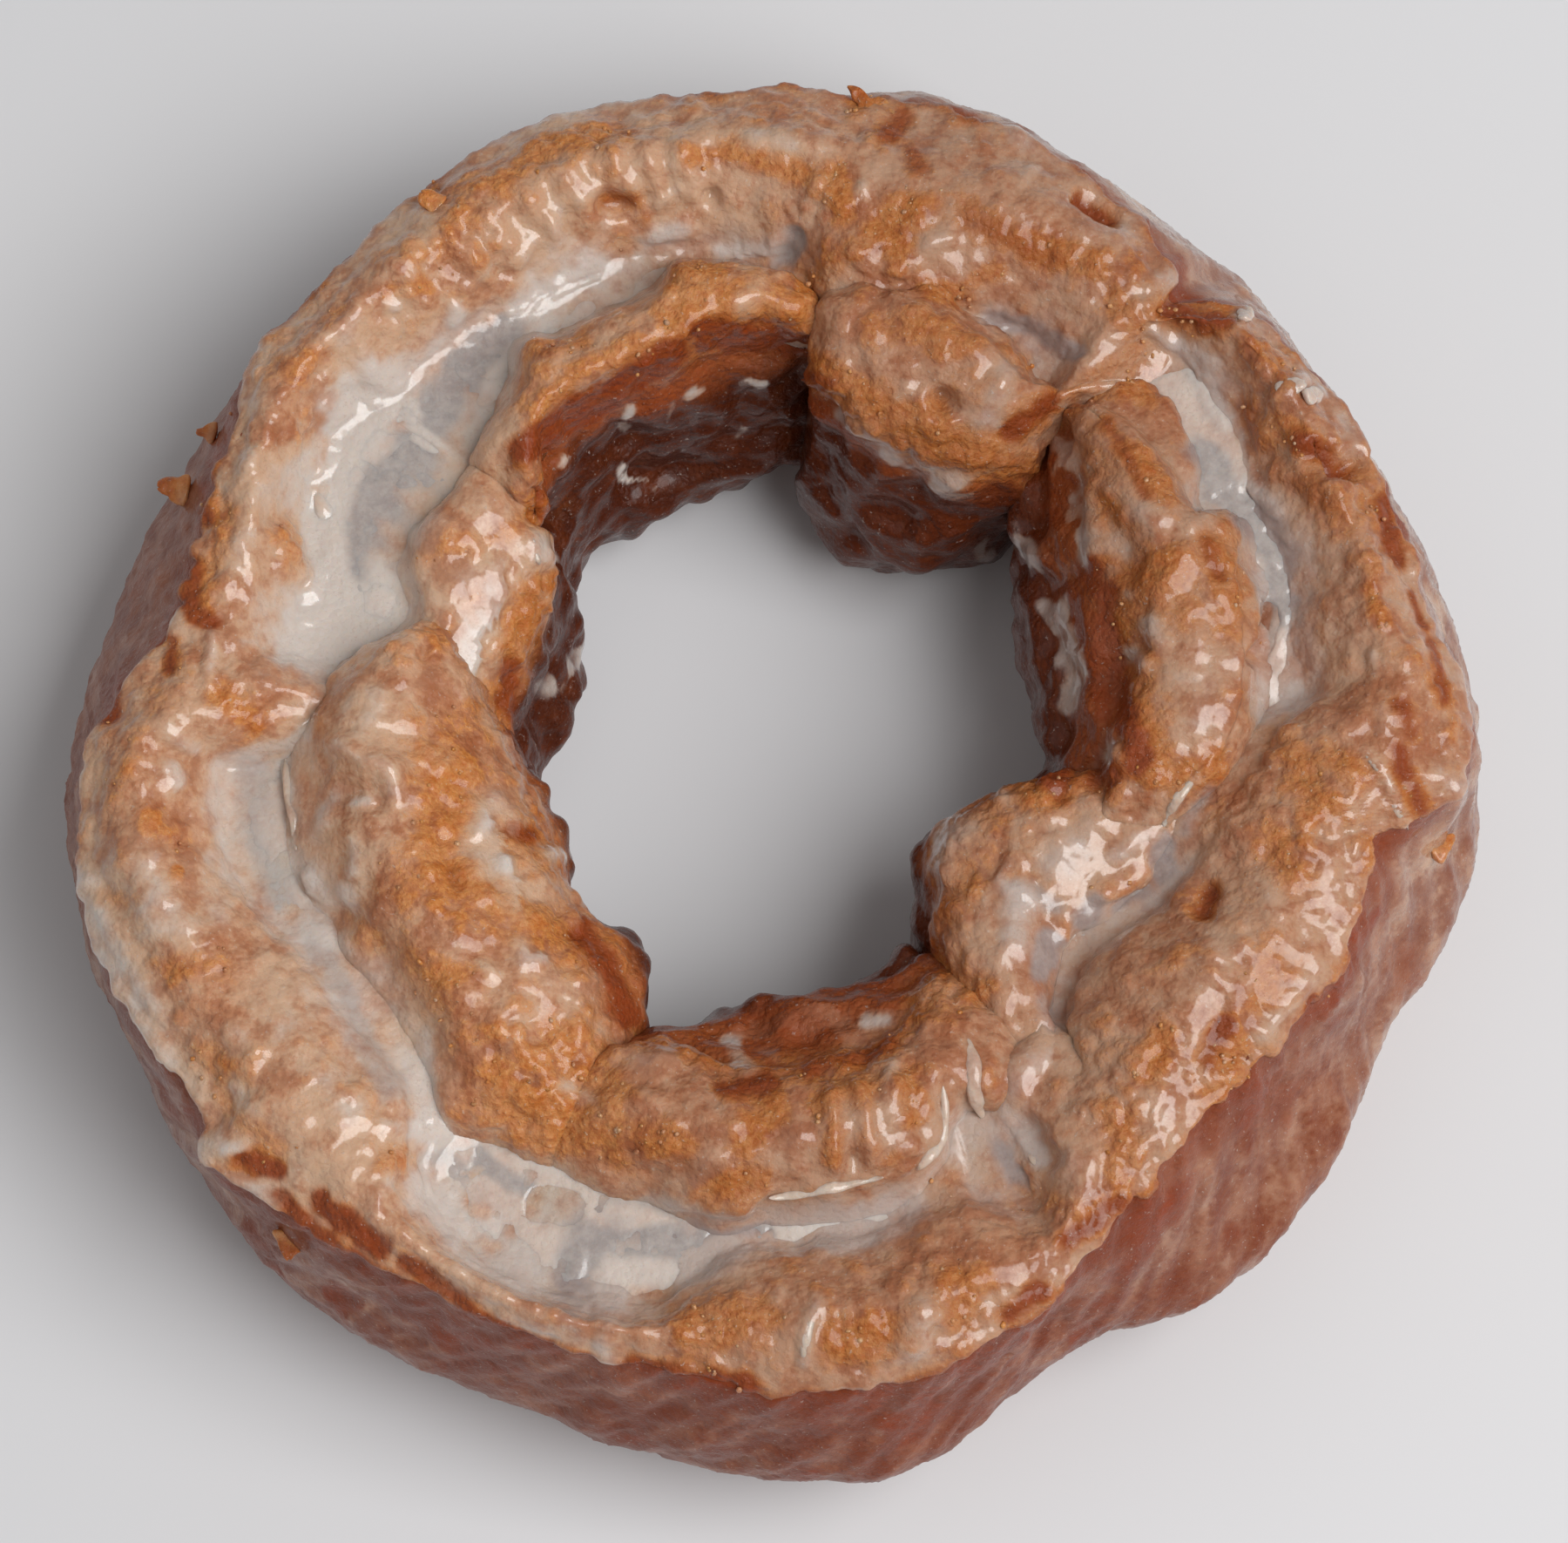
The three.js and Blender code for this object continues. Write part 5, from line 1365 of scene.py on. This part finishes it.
def lobe_edge():
    """The lobes' outer edge as one closed outline round the hole, taken from the lobes' own edges."""
    azimuth = np.arange(0, TURN, 1.5)
    outline = np.full(azimuth.shape, 24.0)
    for lobe in LOBES.values():
        start, end = lobe["span"]
        for turn in (0, TURN):
            at = azimuth + turn
            reach = rail(lobe["edge"], at)[0]
            outline = np.where((at > start) & (at < end), np.maximum(outline, reach), outline)
    return Curve(list(zip(azimuth, outline)))


# ---- small pieces that lie on the dough ------------------------------------------------------------------


class Relief:
    """The highest dough over each spot of the ground, kept as a grid of squares."""

    square = 0.4
    reach = 50.0
    passes = 5

    def __init__(self, pieces):
        count = int(2 * self.reach / self.square)
        heights = np.zeros((count, count))
        for piece in pieces:
            flat = np.empty(3 * len(piece.data.vertices), np.float32)
            piece.data.vertices.foreach_get("co", flat)
            points = flat.reshape(-1, 3) / MM
            np.maximum.at(heights, self.squares(points, count), points[:, 2])
        around = [np.roll(heights, (down, over), (0, 1)) for down in (-1, 0, 1) for over in (-1, 0, 1)]
        self.heights = np.mean(around, axis=0)
        self.drops = self.heights - np.min(around, axis=0)

    def squares(self, points, count):
        """Which square of the grid each point stands over."""
        index = np.clip((points[..., :2] + self.reach) / self.square, 0, count - 1).astype(int)
        return index[..., 0], index[..., 1]

    def seat(self, azimuth, radius):
        """Points on the dough under the places of marks, found along the same leaning lines."""
        flat = turned(radius, MARK_HEIGHT, azimuth)
        points = flat.copy()
        for _ in range(self.passes):
            points[..., 2] = self.heights[self.squares(points, len(self.heights))]
            points[..., 1] = flat[..., 1] - MARK_LEAN * (points[..., 2] - MARK_HEIGHT)
        return points


def joined(lofts):
    """Several closed lofts [section, point round it, xyz] as the points and faces of one mesh."""
    bodies, quads, fans = zip(*(closed_loft(loft) for loft in lofts))
    starts = np.cumsum([0, *map(len, bodies)])
    return (
        np.concatenate(bodies),
        np.concatenate([faces + start for faces, start in zip(quads, starts)]),
        np.concatenate([faces + start for faces, start in zip(fans, starts)]),
    )


def thread(relief, half, places, count=64, around=10):
    """One raised thread of glaze through its places: a flattened tube that thins to both ends.

    Its section has size (1 - along^2)^0.8, and waves widen and narrow it along its way.
    """
    azimuth, radius = np.array(places, float).T
    share = np.arange(len(places))
    along = eased(count)
    at = (along + 1) / 2 * share[-1]
    path = relief.seat(*(Curve(list(zip(share, values)), closed=False)(at) for values in (azimuth, radius)))
    for _ in range(THREAD_SMOOTHING):
        path[1:-1] = (path[:-2] + 2 * path[1:-1] + path[2:]) / 4
    path = path + 0.12 * np.stack([GRAIN.waves(path + 800 + 30 * axis, 1.8) for axis in range(3)], axis=-1)
    size = half * (1 - along**2) ** 0.8 * (1 + 0.25 * GRAIN.layers(path + 900, 1.6, 2))
    ahead = unit(np.gradient(path, axis=0))
    side = unit(np.cross(ahead, (0.0, 0.0, 1.0)))
    over = np.cross(side, ahead)
    turn = round_turn(around)
    flat = side[:, None] * np.cos(turn)[None, :, None] + 0.5 * over[:, None] * np.sin(turn)[None, :, None]
    return path[:, None] + flat * size[:, None, None] - (0, 0, 0.3 * half)


def plate(root, tip, width, lift, curl, thick, taper, sections=26, around=20):
    """One broken flake from its root to its tip, lifted and curled, with a ragged outline.

    Along it the slope grows from lift by curl, in degrees. Its half width is w (1 - along^8) (1 - t)^taper,
    with t going from 0 to 1, and its section is a flat oval. Waves push the outline in and out.
    """
    along = np.linspace(-1, 1, sections + 2)[1:-1]
    run = tip - root
    length = float(np.hypot(run[0], run[1]))
    ahead = np.array((run[0], run[1], 0.0)) / length
    side = np.cross(ahead, (0.0, 0.0, 1.0))
    slope = np.radians(lift + curl * (along + 1) / 2)
    step = length / (sections + 1)
    way = np.cos(slope)[:, None] * ahead + np.sin(slope)[:, None] * np.array((0, 0, 1.0))
    over = np.cross(side, way)
    middle = root + np.cumsum(way, axis=0) * step
    size = (1 - along**8) * ((1 - along) / 2) ** taper
    turn = round_turn(around)
    flat = side * np.cos(turn)[None, :, None] * (width / 2 * size)[:, None, None]
    deep = over[:, None] * (np.sin(turn) * thick / 2)[None, :, None] * np.sqrt(size)[:, None, None]
    shaped = middle[:, None] + flat + deep
    rag = GRAIN.layers(shaped + 950, 1.8, 3, 0.5)[..., None]
    reach = np.abs(np.cos(turn))[None, :, None] * between(-1, 0.5, along)[:, None, None]
    shaped = shaped + rag * reach * 0.3 * min(width, length) * unit(shaped - middle.mean(axis=0))
    return shaped + over[:, None] * 0.15 * GRAIN.layers(shaped + 970, 1.4, 3, 0.7)[..., None]


def loose_piece(name, lofts, tones):
    """Joins lofts to one piece. Each loft has one tone, or one for each of its sections."""
    points, quads, triangles = joined(lofts)
    rows = []
    for loft, tone in zip(lofts, tones):
        sections, around = loft.shape[:2]
        along = np.broadcast_to(np.asarray(tone, float), (sections, 3))
        rows.append(np.concatenate((np.repeat(along, around, axis=0), along[[0, -1]])))
    toast, bare, glaze = np.concatenate(rows).T
    return dough_piece(name, points, quads, triangles, toast=toast, bare=bare, glaze=glaze)


def make_threads(relief):
    """The raised threads and ridges of glaze."""
    lofts = [thread(relief, half, places) for half, *places in THREADS]
    return loose_piece("glaze_threads", lofts, [THREAD_TONE] * len(lofts))


def make_flakes(relief):
    """The curled flakes of crust, whose tone goes over from that of their root."""
    lofts, tones = [], []
    for start, end, width, lift, curl, tone in FLAKES:
        root = relief.seat(*start) - (0, 0, FLAKE_THICKNESS / 2)
        tip = turned(end[1], root[2], end[0]) - (0, MARK_LEAN * (root[2] - MARK_HEIGHT), 0)
        lofts.append(plate(root, tip, width, lift, curl, FLAKE_THICKNESS, FLAKE_TAPER))
        share = between(0.2, 0.8, np.linspace(0, 1, len(lofts[-1])))[:, None]
        tones.append(FLAKE_ROOT + share * (np.array(FLAKE_TONES[tone]) - FLAKE_ROOT))
    return loose_piece("crust_flakes", lofts, tones)


def make_chips(relief):
    """The hard white chips of glaze: small ragged slabs that lie along the dough."""
    lofts = []
    for start, end, width in CHIPS:
        root, tip = (relief.seat(*place) + (0, 0, CHIP_THICKNESS / 2) for place in (start, end))
        run = tip - root
        slope = math.degrees(math.atan2(run[2], math.hypot(run[0], run[1])))
        lofts.append(plate(root, tip, width, slope, 0, CHIP_THICKNESS, CHIP_TAPER))
    return loose_piece("glaze_chips", lofts, [CHIP_TONE] * len(lofts))


def make_crumbs(relief):
    """Crumbs on the bare parts of the torn top: small balls, stretched, turned and dented at random."""
    random = np.random.default_rng(8)
    azimuth = random.uniform(0, TURN, CRUMB_TRIES)
    nearest, furthest = CRUMB_RADII
    radius = np.sqrt(random.uniform(nearest**2, furthest**2, CRUMB_TRIES))
    seats = relief.seat(azimuth, radius)
    bare = strokes(seats, BARE_MARKS) + 0.4 * strokes(seats, TOAST_MARKS)
    cover = glaze_cover(seats) + strokes(seats, WHITE_GLAZE_AND_GLINT_MARKS) + strokes(seats, GREY_FILM_AND_SHADE_MARKS)
    chance = 0.5 * bare - 0.5 * between(0.5, 0.9, cover)
    dry = seats[:, 2] > Curve(GLAZE_LEVEL)(azimuth) + 0.7
    steep = relief.drops[relief.squares(seats, len(relief.drops))] > 1.5
    keep = (random.random(CRUMB_TRIES) < chance) & dry & ~steep
    seats = seats[keep] - (0, 0, CRUMB_SINK)
    count = len(seats)
    tilt = np.linspace(0, math.pi, 6)[1:-1, None]
    turn = round_turn(6)
    wide = np.sin(tilt)
    ball = np.stack(np.broadcast_arrays(wide * np.cos(turn), wide * np.sin(turn), np.cos(tilt)), axis=-1)
    sizes = random.uniform(*CRUMB_SIZES, (count, 1, 1, 1)) * random.uniform(0.7, 1.3, (count, 1, 1, 3))
    sizes[bare[keep] < 0.3] *= 0.8
    spin = np.linalg.qr(random.normal(size=(count, 3, 3)))[0]
    spin *= np.sign(np.linalg.det(spin))[:, None, None]
    shaped = np.einsum("nij,nabj->nabi", spin, ball * sizes) + seats[:, None, None]
    shaped = shaped + 0.1 * GRAIN.waves(shaped + 990, 0.5)[..., None] * unit(shaped - seats[:, None, None])
    toast, bare = random.uniform(0, 0.15, count), random.uniform(0.2, 0.8, count)
    tones = np.stack((toast, bare, random.uniform(-0.4, 0.2, count)), axis=-1)
    return loose_piece("crumbs", list(shaped), tones)


# ---- operators -------------------------------------------------------------------------------------------

# The pieces with these endings are the dough that the small pieces lie on.
DOUGH_ENDINGS = ("crust", "top", "lobe", "pools")


class DOUGHNUT_OT_ring(bpy.types.Operator):
    """Makes the outer ring: its side crust with a flat base, and its torn top"""

    bl_idname = "doughnut.ring"
    bl_label = "Outer Ring"

    def execute(self, context):
        make_side()
        make_top()
        return {"FINISHED"}


class DOUGHNUT_OT_lobes(bpy.types.Operator):
    """Makes the torn lobes that lean over the hole"""

    bl_idname = "doughnut.lobes"
    bl_label = "Torn Lobes"

    def execute(self, context):
        for name, lobe in LOBES.items():
            make_lobe(f"{name}_lobe", lobe)
        return {"FINISHED"}


class DOUGHNUT_OT_pools(bpy.types.Operator):
    """Makes the glaze that has pooled in the groove"""

    bl_idname = "doughnut.pools"
    bl_label = "Glaze Pools"

    def execute(self, context):
        make_pools()
        return {"FINISHED"}


class DOUGHNUT_OT_bits(bpy.types.Operator):
    """Makes the small pieces on the dough: threads and chips of glaze, flakes of crust, and crumbs"""

    bl_idname = "doughnut.bits"
    bl_label = "Flakes and Crumbs"

    def execute(self, context):
        dough = [thing for thing in context.scene.objects if thing.name.endswith(DOUGH_ENDINGS)]
        relief = Relief(dough)
        make_threads(relief)
        make_chips(relief)
        make_flakes(relief)
        make_crumbs(relief)
        return {"FINISHED"}


class DOUGHNUT_OT_stage(bpy.types.Operator):
    """Makes the pale floor, the soft lights and the camera"""

    bl_idname = "doughnut.stage"
    bl_label = "Stage"

    def execute(self, context):
        scene = context.scene
        edge = FLOOR_REACH / MM
        corners = np.array(((-edge, -edge, 0), (edge, -edge, 0), (edge, edge, 0), (-edge, edge, 0)))
        floor = new_piece("floor", corners, np.array(((0, 1, 2, 3),)))
        floor.data.materials.append(material("pale_floor", floor_finish))
        for name, light in LIGHTS.items():
            add_light(name, **light)
        world = bpy.data.worlds.new("studio")
        world.use_nodes = True
        sky = world.node_tree.nodes["Background"].inputs
        sky["Color"].default_value = (1.0, 1.0, 1.0, 1.0)
        sky["Strength"].default_value = SKY_STRENGTH
        scene.world = world
        scene.view_settings.view_transform = "Standard"
        add_camera()
        return {"FINISHED"}


def around(azimuth, elevation, distance, target):
    """A place at a distance from a target, seen under an azimuth and an elevation in degrees."""
    turn, lift = math.radians(azimuth), math.radians(elevation)
    way = np.array((math.cos(turn) * math.cos(lift), math.sin(turn) * math.cos(lift), math.sin(lift)))
    return target + distance * way


def aim(thing, place, target):
    """Puts a camera or a light at a place, looking at a target, both in metres."""
    thing.location = Vector(place)
    thing.rotation_euler = (Vector(target) - Vector(place)).to_track_quat("-Z", "Y").to_euler()
    bpy.context.scene.collection.objects.link(thing)


def add_light(name, azimuth, elevation, distance, size, power):
    """A square area light that looks at the doughnut's middle."""
    lamp = bpy.data.lights.new(name, "AREA")
    lamp.energy = power
    lamp.size = size
    target = np.array((0, 0, RING_HEIGHT / 2)) * MM
    aim(bpy.data.objects.new(name, lamp), around(azimuth, elevation, distance, target), target)


def add_camera():
    """The camera looks steeply down along +Y, with a long lens."""
    camera = bpy.data.cameras.new("camera")
    camera.lens = VIEW_LENS
    camera.sensor_width = VIEW_SENSOR
    target = np.array(VIEW_TARGET) * MM
    thing = bpy.data.objects.new("camera", camera)
    aim(thing, around(-90, VIEW_ELEVATION, VIEW_DISTANCE * MM, target), target)
    bpy.context.scene.camera = thing


class DOUGHNUT_PT_panel(bpy.types.Panel):
    """Lists the sizes, the colours and the pieces in the sidebar"""

    bl_idname = "DOUGHNUT_PT_panel"
    bl_label = "Old Fashioned Doughnut"
    bl_space_type = "VIEW_3D"
    bl_region_type = "UI"
    bl_category = "Doughnut"

    def draw(self, context):
        for settings in (context.scene.doughnut_sizes, context.scene.doughnut_colours):
            box = self.layout.box()
            for name in settings.__annotations__:
                box.prop(settings, name)
        for operator in PIECES:
            self.layout.operator(operator.bl_idname)


PIECES = (DOUGHNUT_OT_ring, DOUGHNUT_OT_lobes, DOUGHNUT_OT_pools, DOUGHNUT_OT_bits, DOUGHNUT_OT_stage)
CLASSES = (DoughnutSizes, DoughnutColours, *PIECES, DOUGHNUT_PT_panel)


def register():
    for cls in CLASSES:
        bpy.utils.register_class(cls)
    bpy.types.Scene.doughnut_sizes = PointerProperty(type=DoughnutSizes)
    bpy.types.Scene.doughnut_colours = PointerProperty(type=DoughnutColours)


def unregister():
    del bpy.types.Scene.doughnut_colours
    del bpy.types.Scene.doughnut_sizes
    for cls in reversed(CLASSES):
        bpy.utils.unregister_class(cls)


def main():
    register()
    bpy.ops.doughnut.ring()
    bpy.ops.doughnut.lobes()
    bpy.ops.doughnut.pools()
    bpy.ops.doughnut.bits()
    bpy.ops.doughnut.stage()


if __name__ == "__main__":
    main()
